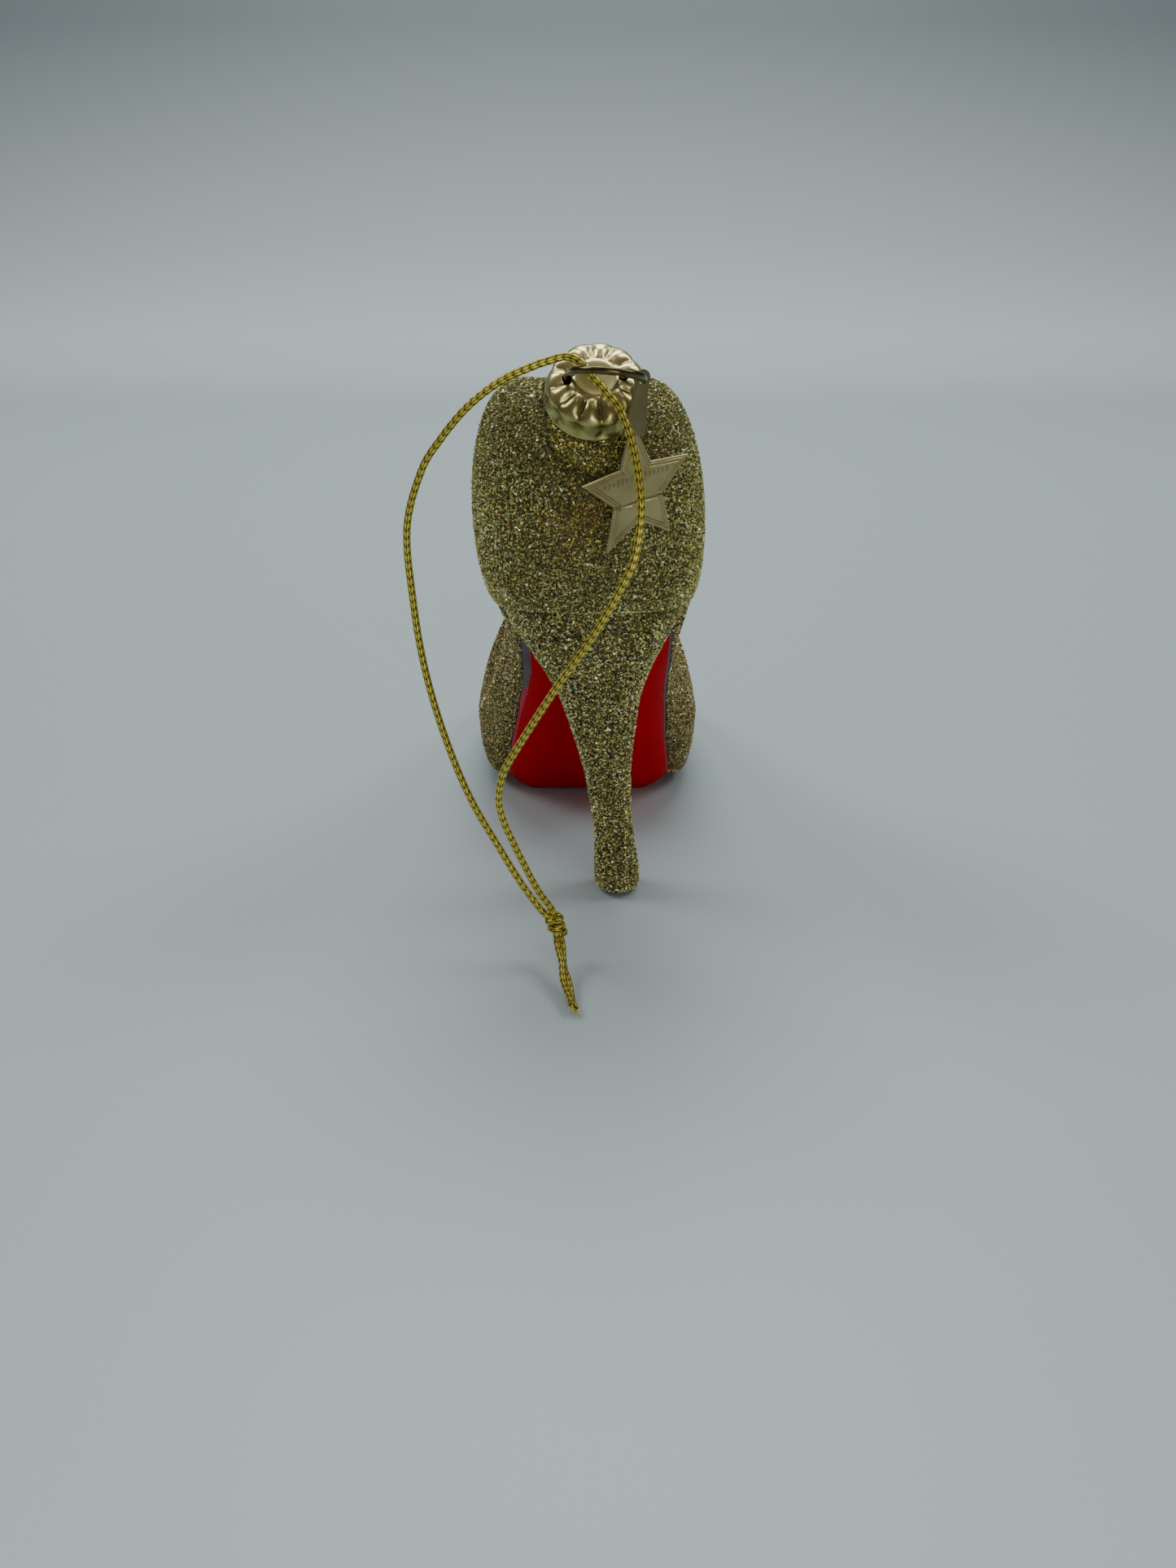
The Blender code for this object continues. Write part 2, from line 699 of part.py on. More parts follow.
def make_tag():
    frame = tag_frame()
    rings = []
    for face in (-TAG_THICKNESS / 2, TAG_THICKNESS / 2):
        rings.append([frame @ Vector((point.x, point.y, face)) for point in tag_outline()])
    tag = mesh_object("star_tag", rings)
    eye = frame @ Matrix.Translation(Vector((-TAB_SHIFT, TAB_REACH, 0)))
    hole = rod("eye_form", WIRE_DIAMETER / 2 + GAP, -2 * TAG_THICKNESS, 2 * TAG_THICKNESS, 16, eye)
    boolean(tag, hole, "DIFFERENCE")
    return paint(tag, (0.5, 0.45, 0.33), 0.4, 0.9)


# The cord's route in millimetres, chosen by hand: from the knot up on the left, over the
# wire's left leg, down through its loop, and back down on the right to the knot.
CORD_ROUTE = [Vector(point) * MM for point in (
    (-5.6, -65.1, 7.4),
    (-8.4, -63.8, 10.9),
    (-10.9, -62.8, 15.0),
    (-14.8, -61.0, 21.8),
    (-17.9, -59.0, 29.7),
    (-20.0, -57.2, 37.6),
    (-21.0, -56.2, 45.5),
    (-21.2, -56.0, 54.2),
    (-19.1, -56.5, 60.8),
    (-16.6, -57.0, 64.5),
    (-13.3, -57.7, 68.1),
    (-9.6, -58.2, 70.8),
    (-6.4, -58.3, 72.2),
    (-4.3, -58.1, 72.9),
    (-2.3, -58.0, 73.3),
    (-0.7, -58.7, 72.7),
    (0.6, -60.1, 71.3),
    (2.1, -61.3, 69.8),
    (3.5, -62.3, 68.1),
    (4.9, -64.0, 64.3),
    (5.7, -66.0, 59.1),
    (5.2, -67.0, 54.0),
    (3.9, -67.2, 50.7),
    (0.6, -67.0, 44.7),
    (-4.0, -66.6, 37.8),
    (-8.4, -66.3, 30.6),
    (-10.0, -66.2, 27.6),
    (-10.7, -66.1, 24.6),
    (-10.5, -66.0, 21.9),
    (-9.4, -65.9, 18.5),
    (-6.5, -65.5, 11.4),
    (-4.6, -65.3, 8.1),
)]
KNOT_PLACE = Vector((-4.1, -65.4, 5.8)) * MM
TAIL_ROUTE = [Vector(point) * MM for point in (
    (-3.9, -66.6, 3.6),
    (-3.6, -68.3, 2.7),
    (-3.2, -70.8, 1.6),
    (-2.6, -73.6, 0.8),
    (-2.0, -76.2, 0.5),
)]
TAIL_OFFSET = Vector((0.5, -0.1, 1.15)) * MM


def make_cord():
    loop = tube("cord_loop", flowing(CORD_ROUTE, 2.4 * CORD_DIAMETER), CORD_DIAMETER)
    paint(loop, (0.55, 0.45, 0.08), 0.4, 0.6)
    for name, offset in (("cord_tail_lower", Vector((0, 0, 0))), ("cord_tail_upper", TAIL_OFFSET)):
        route = [point + offset for point in TAIL_ROUTE]
        tail = tube(name, flowing(route, 2.4 * CORD_DIAMETER), CORD_DIAMETER)
        paint(tail, (0.55, 0.45, 0.08), 0.4, 0.6)


def make_knot():
    frame = Matrix.Translation(KNOT_PLACE)
    profile = []
    for i in range(9):
        angle = -math.pi / 2 + math.pi * i / 8
        profile.append((KNOT_WIDTH / 2 * math.cos(angle), KNOT_HEIGHT / 2 * math.sin(angle), 0))
    return paint(turned("cord_knot", profile, 14, frame), (0.5, 0.42, 0.08), 0.4, 0.6)


def main():
    for piece in list(bpy.data.objects):
        bpy.data.objects.remove(piece)
    make_shoe()
    make_cap()
    make_wire()
    make_tag()
    make_cord()
    make_knot()


main()
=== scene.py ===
# %% [markdown]
# # A glass shoe ornament
#
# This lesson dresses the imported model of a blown-glass shoe that hangs on a tree or stands
# on a shelf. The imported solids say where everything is. Here each one gets a finer skin:
# glitter that is made of real grains, red lacquer, a fluted cap and a braided cord. Sizes are
# written in millimetres and turned into metres when a mesh is made.

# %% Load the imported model
import math

import bmesh
import bpy
import numpy as np
from mathutils import Matrix, Vector
from mathutils.bvhtree import BVHTree

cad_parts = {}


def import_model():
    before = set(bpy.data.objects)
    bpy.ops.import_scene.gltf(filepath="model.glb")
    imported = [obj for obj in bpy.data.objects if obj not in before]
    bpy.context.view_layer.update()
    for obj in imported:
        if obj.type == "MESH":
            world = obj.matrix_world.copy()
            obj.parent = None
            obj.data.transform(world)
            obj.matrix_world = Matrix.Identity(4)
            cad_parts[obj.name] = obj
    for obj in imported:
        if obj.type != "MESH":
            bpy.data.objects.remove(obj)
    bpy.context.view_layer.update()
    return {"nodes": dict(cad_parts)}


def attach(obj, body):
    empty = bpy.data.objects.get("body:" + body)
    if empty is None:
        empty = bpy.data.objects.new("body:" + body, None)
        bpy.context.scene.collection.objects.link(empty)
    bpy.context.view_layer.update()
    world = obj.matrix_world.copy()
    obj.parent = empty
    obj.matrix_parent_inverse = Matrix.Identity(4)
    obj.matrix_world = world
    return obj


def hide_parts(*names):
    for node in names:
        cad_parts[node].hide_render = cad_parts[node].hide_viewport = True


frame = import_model()
MM = 0.001
print("packed solids:", ", ".join(sorted(frame["nodes"])))

# %% [markdown]
# ## The camera
#
# The photograph looks down at the shoe's back from close by. A wide lens from 14 cm makes
# the counter look large and the heel tip small, so the distance matters as much as the angle.
# Both were adjusted until the heel tip, the sole and the cap lay where the photograph has them.

# %% Set the camera
LENS = 26
SENSOR_WIDTH = 36
NEAREST_SEEN = 0.01
CAMERA_PLACE = (0, -0.1888, 0.0832)
CAMERA_TILT = math.radians(65)

camera_data = bpy.data.cameras.new("camera")
camera_data.lens = LENS
camera_data.sensor_width = SENSOR_WIDTH
camera_data.clip_start = NEAREST_SEEN
camera = bpy.data.objects.new("camera", camera_data)
camera.location = CAMERA_PLACE
camera.rotation_euler = (CAMERA_TILT, 0, 0)
bpy.context.collection.objects.link(camera)
bpy.context.scene.camera = camera
print("camera at", tuple(camera.location))

# %% [markdown]
# ## The cord's route
#
# The cord is one length of braid. It leaves its knot, climbs the left side, goes over the
# wire's left leg and through its loop, and falls down the right side back to the knot. A
# simulation could hang it, but the photograph shows where it hangs. So the route is a list of
# points in millimetres, and a smooth curve is read through them.

# %% Lay the cord's route
CORD_DIAMETER = 0.9
CORD_STEP = 0.1
KNOT_PLACE = Vector((-4.1, -65.4, 5.8))
KNOT_HEART = KNOT_PLACE + Vector((-0.3, 0.1, 1.0))
CORD_ROUTE = [Vector(point) for point in (
    (-5.6, -65.1, 7.4), (-8.4, -63.8, 10.9), (-10.9, -62.8, 15.0), (-14.8, -61.0, 21.8),
    (-17.9, -59.0, 29.7), (-20.0, -57.2, 37.6), (-21.0, -56.2, 45.5), (-21.2, -56.0, 54.2),
    (-19.1, -56.5, 60.8), (-16.6, -57.0, 64.5), (-13.3, -57.7, 68.1), (-9.6, -58.2, 70.8),
    (-6.4, -58.3, 72.2), (-4.3, -58.1, 72.9), (-2.3, -58.0, 73.3), (-0.7, -58.7, 72.7),
    (0.6, -60.1, 71.3), (2.1, -61.3, 69.8), (3.5, -62.3, 68.1), (4.9, -64.0, 64.3),
    (5.7, -66.0, 59.1), (5.2, -67.0, 54.0), (3.9, -67.2, 50.7), (0.6, -67.0, 44.7),
    (-4.0, -66.6, 37.8), (-8.4, -66.3, 30.6), (-10.0, -66.2, 27.6), (-10.7, -66.1, 24.6),
    (-10.5, -66.0, 21.9), (-9.4, -65.9, 18.5), (-6.5, -65.5, 11.4), (-4.6, -65.3, 8.1),
)]


def flowing(route, step, fineness=24):
    """Reads points a step apart from the smooth curve through a route's points."""
    dense = []
    padded = [2 * route[0] - route[1]] + route + [2 * route[-1] - route[-2]]
    for before, start, end, after in zip(padded, padded[1:], padded[2:], padded[3:]):
        for i in range(fineness):
            t = i / fineness
            dense.append(0.5 * (2 * start + (end - before) * t
                                + (2 * before - 5 * start + 4 * end - after) * t * t
                                + (3 * start - before - 3 * end + after) * t ** 3))
    dense.append(route[-1])
    line = np.array([tuple(point) for point in dense])
    travelled = np.concatenate([[0], np.cumsum(np.linalg.norm(np.diff(line, axis=0), axis=1))])
    count = max(round(travelled[-1] / step), 1)
    at = np.linspace(0, travelled[-1], count + 1)
    return np.stack([np.interp(at, travelled, line[:, i]) for i in range(line.shape[1])], 1)


def length_of(points):
    return float(np.linalg.norm(np.diff(points, axis=0), axis=1).sum())


cord_line = flowing([KNOT_HEART] + CORD_ROUTE + [KNOT_HEART], CORD_STEP)
print("cord:", len(cord_line), "points,", round(length_of(cord_line), 1), "mm long")

# %% [markdown]
# ## Colours and materials
#
# Colours are easier to judge as the eye sees them, so they are written as screen colours
# and turned into light here. Each finish is a Principled shader with a little noise in its
# colour and its surface, because no real lacquer or metal is perfectly even.

# %% Start a finish


def light(code):
    """Turns a screen colour such as b5b08a into linear light."""
    channels = [int(code[i:i + 2], 16) / 255 for i in (0, 2, 4)]
    return tuple(c / 12.92 if c < 0.04045 else ((c + 0.055) / 1.055) ** 2.4 for c in channels)


def finish(name, **settings):
    """A new material and its Principled shader, with some of the shader's sockets set."""
    material = bpy.data.materials.new(name)
    material.use_nodes = True
    shader = material.node_tree.nodes["Principled BSDF"]
    for socket, value in settings.items():
        shader.inputs[socket.replace("_", " ")].default_value = value
    return material, material.node_tree, shader


print("a middle grey on the screen is", round(light("808080")[0], 2), "of full light")

# %% Helpers for uneven colours


def noise(tree, scale, detail=3.0, roughness=0.5):
    """Noise in the piece's own coordinates; the scale is cells per metre."""
    place = tree.nodes.new("ShaderNodeTexCoord")
    texture = tree.nodes.new("ShaderNodeTexNoise")
    texture.inputs["Scale"].default_value = scale
    texture.inputs["Detail"].default_value = detail
    texture.inputs["Roughness"].default_value = roughness
    tree.links.new(place.outputs["Object"], texture.inputs["Vector"])
    return texture.outputs["Fac"]


def colour_ramp(tree, factor, *stops):
    """A colour ramp of (position, screen colour) stops."""
    node = tree.nodes.new("ShaderNodeValToRGB")
    elements = node.color_ramp.elements
    for i, (position, code) in enumerate(stops):
        element = elements[i] if i < 2 else elements.new(position)
        element.position = position
        element.color = (*light(code), 1)
    tree.links.new(factor, node.inputs["Fac"])
    return node.outputs["Color"]


def coloured(tree, shader, factor, *stops):
    """Gives the shader a base colour that wanders between the stops of a ramp."""
    tree.links.new(colour_ramp(tree, factor, *stops), shader.inputs["Base Color"])


print("noise of scale 400 changes every", 1 / MM / 400, "mm")

# %% [markdown]
# The glitter has two finishes: the grains, each in its own colour, and the dark glue between
# them. The glue shows only as specks, so a fine noise is enough for it.

# %% Mix the glitter's finishes


def tinted(tree, shader):
    """Takes the base colour from the colours that the mesh carries."""
    node = tree.nodes.new("ShaderNodeAttribute")
    node.attribute_name = "tint"
    tree.links.new(node.outputs["Color"], shader.inputs["Base Color"])
    return node


def bump(tree, shader, height, strength, distance):
    """Small dents that follow a height, with the distance in metres."""
    node = tree.nodes.new("ShaderNodeBump")
    node.inputs["Strength"].default_value = strength
    node.inputs["Distance"].default_value = distance
    tree.links.new(height, node.inputs["Height"])
    tree.links.new(node.outputs["Normal"], shader.inputs["Normal"])


glitter_grain, tree, shader = finish("glitter_grain", Metallic=0.45, Roughness=0.32)
tinted(tree, shader)

glitter_glue, tree, shader = finish("glitter_glue", Metallic=0.2, Roughness=0.6)
speckle = noise(tree, 3600, detail=2.0, roughness=0.7)
coloured(tree, shader, speckle, (0.4, "262108"), (0.68, "837840"))
bump(tree, shader, speckle, 0.8, 0.0002)
print("the glitter has the finishes", glitter_grain.name, "and", glitter_glue.name)

# %% [markdown]
# The sole's lacquer is a deep red that hardly mirrors the pale floor. On the sole's rounded rim
# its colour is a painted reflection: pinker, and a purple grey at the rim's top. A dark line of
# painted shadow, where the glitter's edge shades the lacquer, ends it at the glitter. The inside
# of the shoe is a plain champagne paint. The glass shows bare only at the heel's tip and inside
# the cap.

# %% Mix the lacquers, the paint and the glass
red_lacquer, tree, shader = finish("red_lacquer", Roughness=0.25, Specular_IOR_Level=0.04)
coloured(tree, shader, noise(tree, 60, detail=2.0), (0.3, "ac0012"), (0.7, "c0001a"))
bump(tree, shader, noise(tree, 350, detail=1.0), 0.06, 0.0003)

# painted shadow: the dark line where the glitter's edge shades the lacquer
edge_shadow, tree, shader = finish("edge_shadow", Roughness=0.4, Specular_IOR_Level=0.2)
coloured(tree, shader, noise(tree, 900), (0.35, "14080a"), (0.65, "321418"))

# painted reflection: the purple grey at the top of the sole's rim
grey_sheen_paint, tree, shader = finish("grey_sheen_paint", Roughness=0.3, Specular_IOR_Level=0.3)
coloured(tree, shader, noise(tree, 400), (0.35, "4a3f46"), (0.65, "5b5058"))

# painted reflection: the pink on the sole's rounded rim
pink_sheen_paint, tree, shader = finish("pink_sheen_paint", Roughness=0.3, Specular_IOR_Level=0.25)
coloured(tree, shader, noise(tree, 200), (0.3, "b00a30"), (0.7, "c2123c"))

champagne_paint, tree, shader = finish("champagne_paint", Metallic=0.5, Roughness=0.38)
coloured(tree, shader, noise(tree, 140), (0.3, "b5a57a"), (0.7, "c6b88e"))
bump(tree, shader, noise(tree, 900, detail=2.0), 0.12, 0.0002)

bare_glass, tree, shader = finish("bare_glass", Roughness=0.08, IOR=1.5, Coat_Weight=0.6)
coloured(tree, shader, noise(tree, 300), (0.3, "77765c"), (0.7, "8f8e74"))
print("finishes so far:", len(bpy.data.materials))

# %% [markdown]
# ## The shoe's curves
#
# A shoe is drawn by a few long curves: the sole's edge, the widest line of the upper and the
# edge of the foot opening. Each is a row of stations, and a place between two stations is
# read from a smooth curve. Places are shares of the shoe's length, counted from the back.
# Sculpting would be quicker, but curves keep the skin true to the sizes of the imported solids.

# %% The shoe's main sizes
SHOE_LENGTH = 96.0
COUNTER_BACK = -11.0
HEEL_TO_BALL = 46.0
RIM_HEIGHT = 70.0
HEEL_TOP_WIDTH = 22.6
COUNTER_WIDTH = 29.2
WAIST_WIDTH = 23.8
BALL_WIDTH = 37.8
OPENING_WIDTH = 18.0
WALL_DRAFT = 1.3
INSOLE_FILLET = 0.8
TOE_TIP = COUNTER_BACK + SHOE_LENGTH
THROAT = COUNTER_BACK + 0.635 * SHOE_LENGTH
OPENING_BACK = COUNTER_BACK + 10.0
EDGE_BACK = COUNTER_BACK + 1.6
EDGE_TOE = TOE_TIP - 2.2
print("the shoe reaches from", COUNTER_BACK, "to", TOE_TIP, "mm ahead of the heel's middle")

# %% Read curves through stations


def smooth(stations, at):
    """Reads a curve through (place, value) stations that never overshoots them."""
    places, values, steps, tangents = stations
    if at <= places[0]:
        return values[0]
    if at >= places[-1]:
        return values[-1]
    index = max(i for i, place in enumerate(places[:-1]) if place <= at)
    step = steps[index]
    t = (at - places[index]) / step
    start = values[index] * (1 + 2 * t) * (1 - t) ** 2 + tangents[index] * step * t * (1 - t) ** 2
    end = values[index + 1] * t * t * (3 - 2 * t) + tangents[index + 1] * step * t * t * (t - 1)
    return start + end


def curve_through(places, values):
    """Stations for smooth(), level wherever the values turn back."""
    steps = [b - a for a, b in zip(places, places[1:])]
    slopes = [(b - a) / step for a, b, step in zip(values, values[1:], steps)]
    tangents = [slopes[0]]
    for before, after in zip(slopes, slopes[1:]):
        tangents.append(0.0 if before * after <= 0 else 2 * before * after / (before + after))
    return places, values, steps, tangents + [slopes[-1]]


def along(scale, *pairs):
    """Stations along the shoe: (share of the length, value), with the values times a scale."""
    places = [COUNTER_BACK + share * SHOE_LENGTH for share, value in pairs]
    return curve_through(places, [value * scale for share, value in pairs])


step_up = curve_through([0, 1, 2, 3], [0, 0, 1, 1])
print("a quarter of the way up a step from 0 to 1 a curve reads", round(smooth(step_up, 1.25), 2))

# %% [markdown]
# The widths are given as shares of the width at the counter, the waist or the ball, and the
# heights as shares of the rim's height. The middle line sways a little, as on a real foot.

# %% Draw the sole's edge and the widest line
edge_half_width = along(1, (0, HEEL_TOP_WIDTH * 0.5), (0.135, HEEL_TOP_WIDTH * 0.49),
                        (0.24, WAIST_WIDTH * 0.458), (0.3, WAIST_WIDTH * 0.46),
                        (0.355, WAIST_WIDTH * 0.483), (0.427, BALL_WIDTH * 0.341),
                        (0.474, BALL_WIDTH * 0.368), (0.573, BALL_WIDTH * 0.386),
                        (0.698, BALL_WIDTH * 0.384))
edge_height = along(RIM_HEIGHT, (0, 0.632), (0.135, 0.594), (0.198, 0.551), (0.233, 0.503),
                    (0.281, 0.420), (0.341, 0.312), (0.391, 0.217), (0.427, 0.142), (0.458, 0.078),
                    (0.48, 0.042), (0.51, 0.022), (0.56, 0.017), (0.698, 0.021), (0.844, 0.034),
                    (1, 0.061))
sole_depth = along(RIM_HEIGHT, (0, 0.009), (0.2, 0.014), (0.3, 0.032), (0.4, 0.055),
                   (0.44, 0.072), (0.467, 0.072), (0.5, 0.045), (0.6, 0.026), (1, 0.017))
widest_half_width = along(1, (0, COUNTER_WIDTH / 2), (0.146, COUNTER_WIDTH / 2),
                          (0.219, COUNTER_WIDTH * 0.479), (0.302, WAIST_WIDTH / 2),
                          (0.365, WAIST_WIDTH * 0.555), (0.427, BALL_WIDTH * 0.415),
                          (0.49, BALL_WIDTH * 0.471), (0.583, BALL_WIDTH / 2), (0.698, BALL_WIDTH * 0.492))
widest_height = along(RIM_HEIGHT, (0, 0.786), (0.146, 0.743), (0.219, 0.643), (0.302, 0.507),
                      (0.365, 0.393), (0.427, 0.286), (0.49, 0.207), (0.583, 0.157), (0.74, 0.123),
                      (1, 0.103))
print("the sole's edge is", round(smooth(edge_height, 10), 1), "mm high, 10 mm ahead of the heel tip")

# %% Draw the opening, the insole and the middle line
opening_half_width = along(OPENING_WIDTH, (0.104, 0.45), (0.24, 0.5), (0.385, 0.533), (0.51, 0.578))
opening_height = along(RIM_HEIGHT, (0.104, 1), (0.146, 0.996), (0.198, 0.951), (0.26, 0.864),
                       (0.344, 0.721), (0.427, 0.571), (0.51, 0.436), (0.583, 0.336), (0.635, 0.293))
opening_progress = along(1, (0, 0), (0.052, 0.031), (0.146, 0.11), (0.271, 0.284), (0.5, 0.627),
                         (0.74, 0.863), (1, 1))
insole_height = along(RIM_HEIGHT, (0.104, 0.691), (0.167, 0.66), (0.219, 0.603), (0.281, 0.506),
                      (0.344, 0.386), (0.406, 0.251), (0.469, 0.137), (0.531, 0.086), (0.635, 0.069))
middle_line = along(BALL_WIDTH, (0, 0), (0.177, 0.001), (0.26, 0.011), (0.35, 0.02), (0.427, 0.003),
                    (0.583, -0.005), (0.802, -0.013), (1, -0.037))
swell_line = along(BALL_WIDTH, (0.1, 0), (0.26, -0.008), (0.35, -0.016), (0.427, 0))
counter_lean = along(1, (0, 0.04), (0.219, 0.04), (0.35, 0))
tuck = along(1, (0, 0.75), (0.14, 0.8), (0.21, 1.5), (0.3, 1.3), (0.4, 0.6), (0.5, 0.5),
             (0.7, 0.45), (1, 0.5))
fullness = along(1, (0, 1), (0.177, 1), (0.323, 0.45), (0.4, -0.15), (0.45, -0.3), (0.5, 0),
                 (0.56, 0.4), (0.698, 0.6), (1, 0.5))
print("the opening is", round(2 * smooth(opening_half_width, THROAT), 1), "mm wide at the throat")

# %% [markdown]
# ## The shoe's rings
#
# The skin is made of closed rings. They start on the sole's middle, go out over its edge, up
# the upper to the foot opening, down the inner wall and in over the insole. Every ring has the
# same number of points, so the skin is a clean net of four-sided faces.

# %% Points on the three long curves
# the share of the length that is rounded off, and its power, at the back and then at the front
EDGE_ENDS = (0.12, 0.5, 0.31, 0.6)
WIDEST_ENDS = (0.14, 0.5, 0.32, 0.58)
OPENING_ENDS = (0.083, 0.5, 0.135, 0.5)


def spread(share, start, end):
    """Places between two ends, closer together near them."""
    return start + (end - start) * (1 - math.cos(math.pi * share)) / 2


def rounded(place, back, front, ends):
    """How far an outline has narrowed near its back or its front."""
    back_share, back_power, front_share, front_power = ends
    from_back = min(max(1 - (place - back) / back_share / SHOE_LENGTH, 0.0), 1.0)
    from_front = min(max(1 - (front - place) / front_share / SHOE_LENGTH, 0.0), 1.0)
    return (1 - from_back * from_back) ** back_power * (1 - from_front * from_front) ** front_power


def edge_point(share):
    """On the sole's edge: half the width, the place, the height and the share of the swell."""
    place = spread(share, EDGE_BACK, EDGE_TOE)
    width = smooth(edge_half_width, place) * rounded(place, EDGE_BACK, EDGE_TOE, EDGE_ENDS)
    return width, place, smooth(edge_height, place), 0.0


def widest_point(share):
    """The same on the upper's widest line."""
    place = spread(share, COUNTER_BACK, TOE_TIP)
    width = smooth(widest_half_width, place) * rounded(place, COUNTER_BACK, TOE_TIP, WIDEST_ENDS)
    return width, place, smooth(widest_height, place), 1.0


def opening_point(share, inset=0.0):
    """The same on the edge of the foot opening, or some way inside it."""
    back = OPENING_BACK + inset
    front = THROAT - inset
    place = back + (front - back) * smooth(opening_progress, spread(share, COUNTER_BACK, TOE_TIP))
    width = (smooth(opening_half_width, place) - inset) * rounded(place, back, front, OPENING_ENDS)
    return width, place, smooth(opening_height, place), 0.0


widths = [widest_point(i / 40)[0] for i in range(41)]
print("the upper's widest place is", round(max(widths), 1), "mm off the middle")

# %% [markdown]
# Between those curves the skin bulges. The upper is a quarter of an oval from the sole's edge
# to the widest line and another from there to the opening, and how full it is changes along
# the shoe. The sole and the insole are rings that shrink onto a stretch of the middle line.

# %% Profiles of the sole
SOLE_SPINE = (EDGE_BACK + 9.0, EDGE_TOE - 10.0)


def blend(start, end, across, up):
    """A point between two others, with one share of the way across and another of the way up."""
    shares = (across, across, up, across)
    return tuple(a + (b - a) * share for a, b, share in zip(start, end, shares))


def inward(outline_point, share, back, front):
    """Shrinks an outline onto the stretch of the middle line from back to front."""
    width, place = outline_point[:2]
    middle = min(max(place, back), front)
    return width * share, middle + (place - middle) * share


def sole_profile(ring_share, share):
    """A point of the sole. The ring's share is 0 on the middle line and 1 at the edge."""
    width, place = inward(edge_point(share), ring_share, *SOLE_SPINE)
    depth = smooth(sole_depth, place) * (1 - ring_share ** 4)
    return width, place, max(smooth(edge_height, place) - depth, 0.0), 0.0


print("under the ball the middle of the sole is", round(sole_profile(0, 0.6)[2], 1), "mm high")

# %% Profiles of the upper
SHOULDER_POWER = 0.93


def lower_profile(t, share):
    """A point between the sole's edge (0) and the widest line (1)."""
    widest = widest_point(share)
    out = math.sin(math.pi / 2 * t) ** smooth(tuck, widest[1])
    return blend(edge_point(share), widest, out, 1 - math.cos(math.pi / 2 * t))


def upper_profile(t, share):
    """A point between the widest line (0) and the edge of the opening (1)."""
    widest = widest_point(share)
    full = smooth(fullness, widest[1])
    inwards = 1 - math.cos(math.pi / 2 * t) ** SHOULDER_POWER if t < 1 else 1.0
    upwards = math.sin(math.pi / 2 * t) ** SHOULDER_POWER
    across = full * inwards + (1 - full) * t
    return blend(widest, opening_point(share), across, full * upwards + (1 - full) * t)


waist = lower_profile(0.5, 0.37)
print("halfway from the sole's edge to its widest line the waist is", round(2 * waist[0], 1), "mm wide")

# %% Profiles inside the shoe, and whole rings
INSOLE_SPINE = (OPENING_BACK + 7.0, THROAT - 8.0)
LEAN_HEIGHT = 0.81 * RIM_HEIGHT
SKIN_STATIONS = 110


def wall_profile(across, down, share):
    """A point of the inner wall, between the edge of the opening and the insole."""
    width, place = opening_point(share, WALL_DRAFT)[:2]
    foot = (width, place, smooth(insole_height, place) + INSOLE_FILLET, 0.0)
    return blend(opening_point(share), foot, across, down)


def floor_profile(ring_share, share):
    """A point of the insole, found as on the sole."""
    width, place = inward(opening_point(share, WALL_DRAFT), ring_share, *INSOLE_SPINE)
    return width, place, smooth(insole_height, place) + INSOLE_FILLET * ring_share ** 4, 0.0


def world(width, place, height, swell, side):
    """The point in metres, on the left (-1) or the right (1) of the swaying middle line."""
    middle = smooth(middle_line, place) + swell * smooth(swell_line, place)
    middle += smooth(counter_lean, place) * (LEAN_HEIGHT - height)
    return Vector((middle + side * width, place - HEEL_TO_BALL, height)) * MM


def shoe_ring(profile, *at):
    """A closed ring, forwards on the left of the middle line and back on its right."""
    shares = [i / SKIN_STATIONS for i in range(SKIN_STATIONS + 1)]
    left = [world(*profile(*at, share), -1) for share in shares]
    right = [world(*profile(*at, share), 1) for share in reversed(shares[1:-1])]
    return left + right


print("a ring of the shoe has", len(shoe_ring(edge_point)), "points")

# %% [markdown]
# Two helpers serve every piece from here on. One skins a row of closed rings with four-sided
# faces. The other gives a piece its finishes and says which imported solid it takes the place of.

# %% Helpers for pieces


def skin(name, rings, closed_ends=True, finish_of=None):
    """Skins closed rings of points, in order. finish_of(ring number, face's middle) gives the finish."""
    mesh = bpy.data.meshes.new(name)
    bm = bmesh.new()
    loops = [[bm.verts.new(point) for point in ring] for ring in rings]
    for number, (lower, upper) in enumerate(zip(loops, loops[1:])):
        count = len(lower)
        for i in range(count):
            j = (i + 1) % count
            face = bm.faces.new((lower[i], lower[j], upper[j], upper[i]))
            face.smooth = True
            if finish_of:
                face.material_index = finish_of(number, face.calc_center_median() / MM)
    if closed_ends:
        bm.faces.new(list(reversed(loops[0])))
        bm.faces.new(loops[-1])
    bmesh.ops.remove_doubles(bm, verts=bm.verts, dist=0.000004)
    bmesh.ops.recalc_face_normals(bm, faces=bm.faces)
    bm.to_mesh(mesh)
    bm.free()
    piece = bpy.data.objects.new(name, mesh)
    bpy.context.collection.objects.link(piece)
    return piece


def dress(piece, node, slot, *materials):
    """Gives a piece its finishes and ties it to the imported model."""
    for material in materials:
        piece.data.materials.append(material)
    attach(piece, "root")
    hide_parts(node)
    return piece


# %% [markdown]
# The rings are close together where the skin turns sharply or where the finish changes: at
# the sole's rim and at the opening's edge.

# %% Lay the shoe's rings
LOWER_STEPS = 12
UPPER_STEPS = 26
SOLE_SHARES = (0, 0.2, 0.4, 0.55, 0.68, 0.78, 0.84, 0.87, 0.885, 0.9, 0.915, 0.93, 0.945, 0.96, 0.975, 0.99)
WALL_SHARES = ((0.12, 0.012), (0.25, 0.035), (0.4, 0.08), (0.5, 0.14), (0.62, 0.3),
               (0.75, 0.5), (0.83, 0.7), (0.9, 0.88), (0.95, 0.96), (1, 1))
INSOLE_SHARES = (0.95, 0.85, 0.7, 0.5, 0.25, 0)

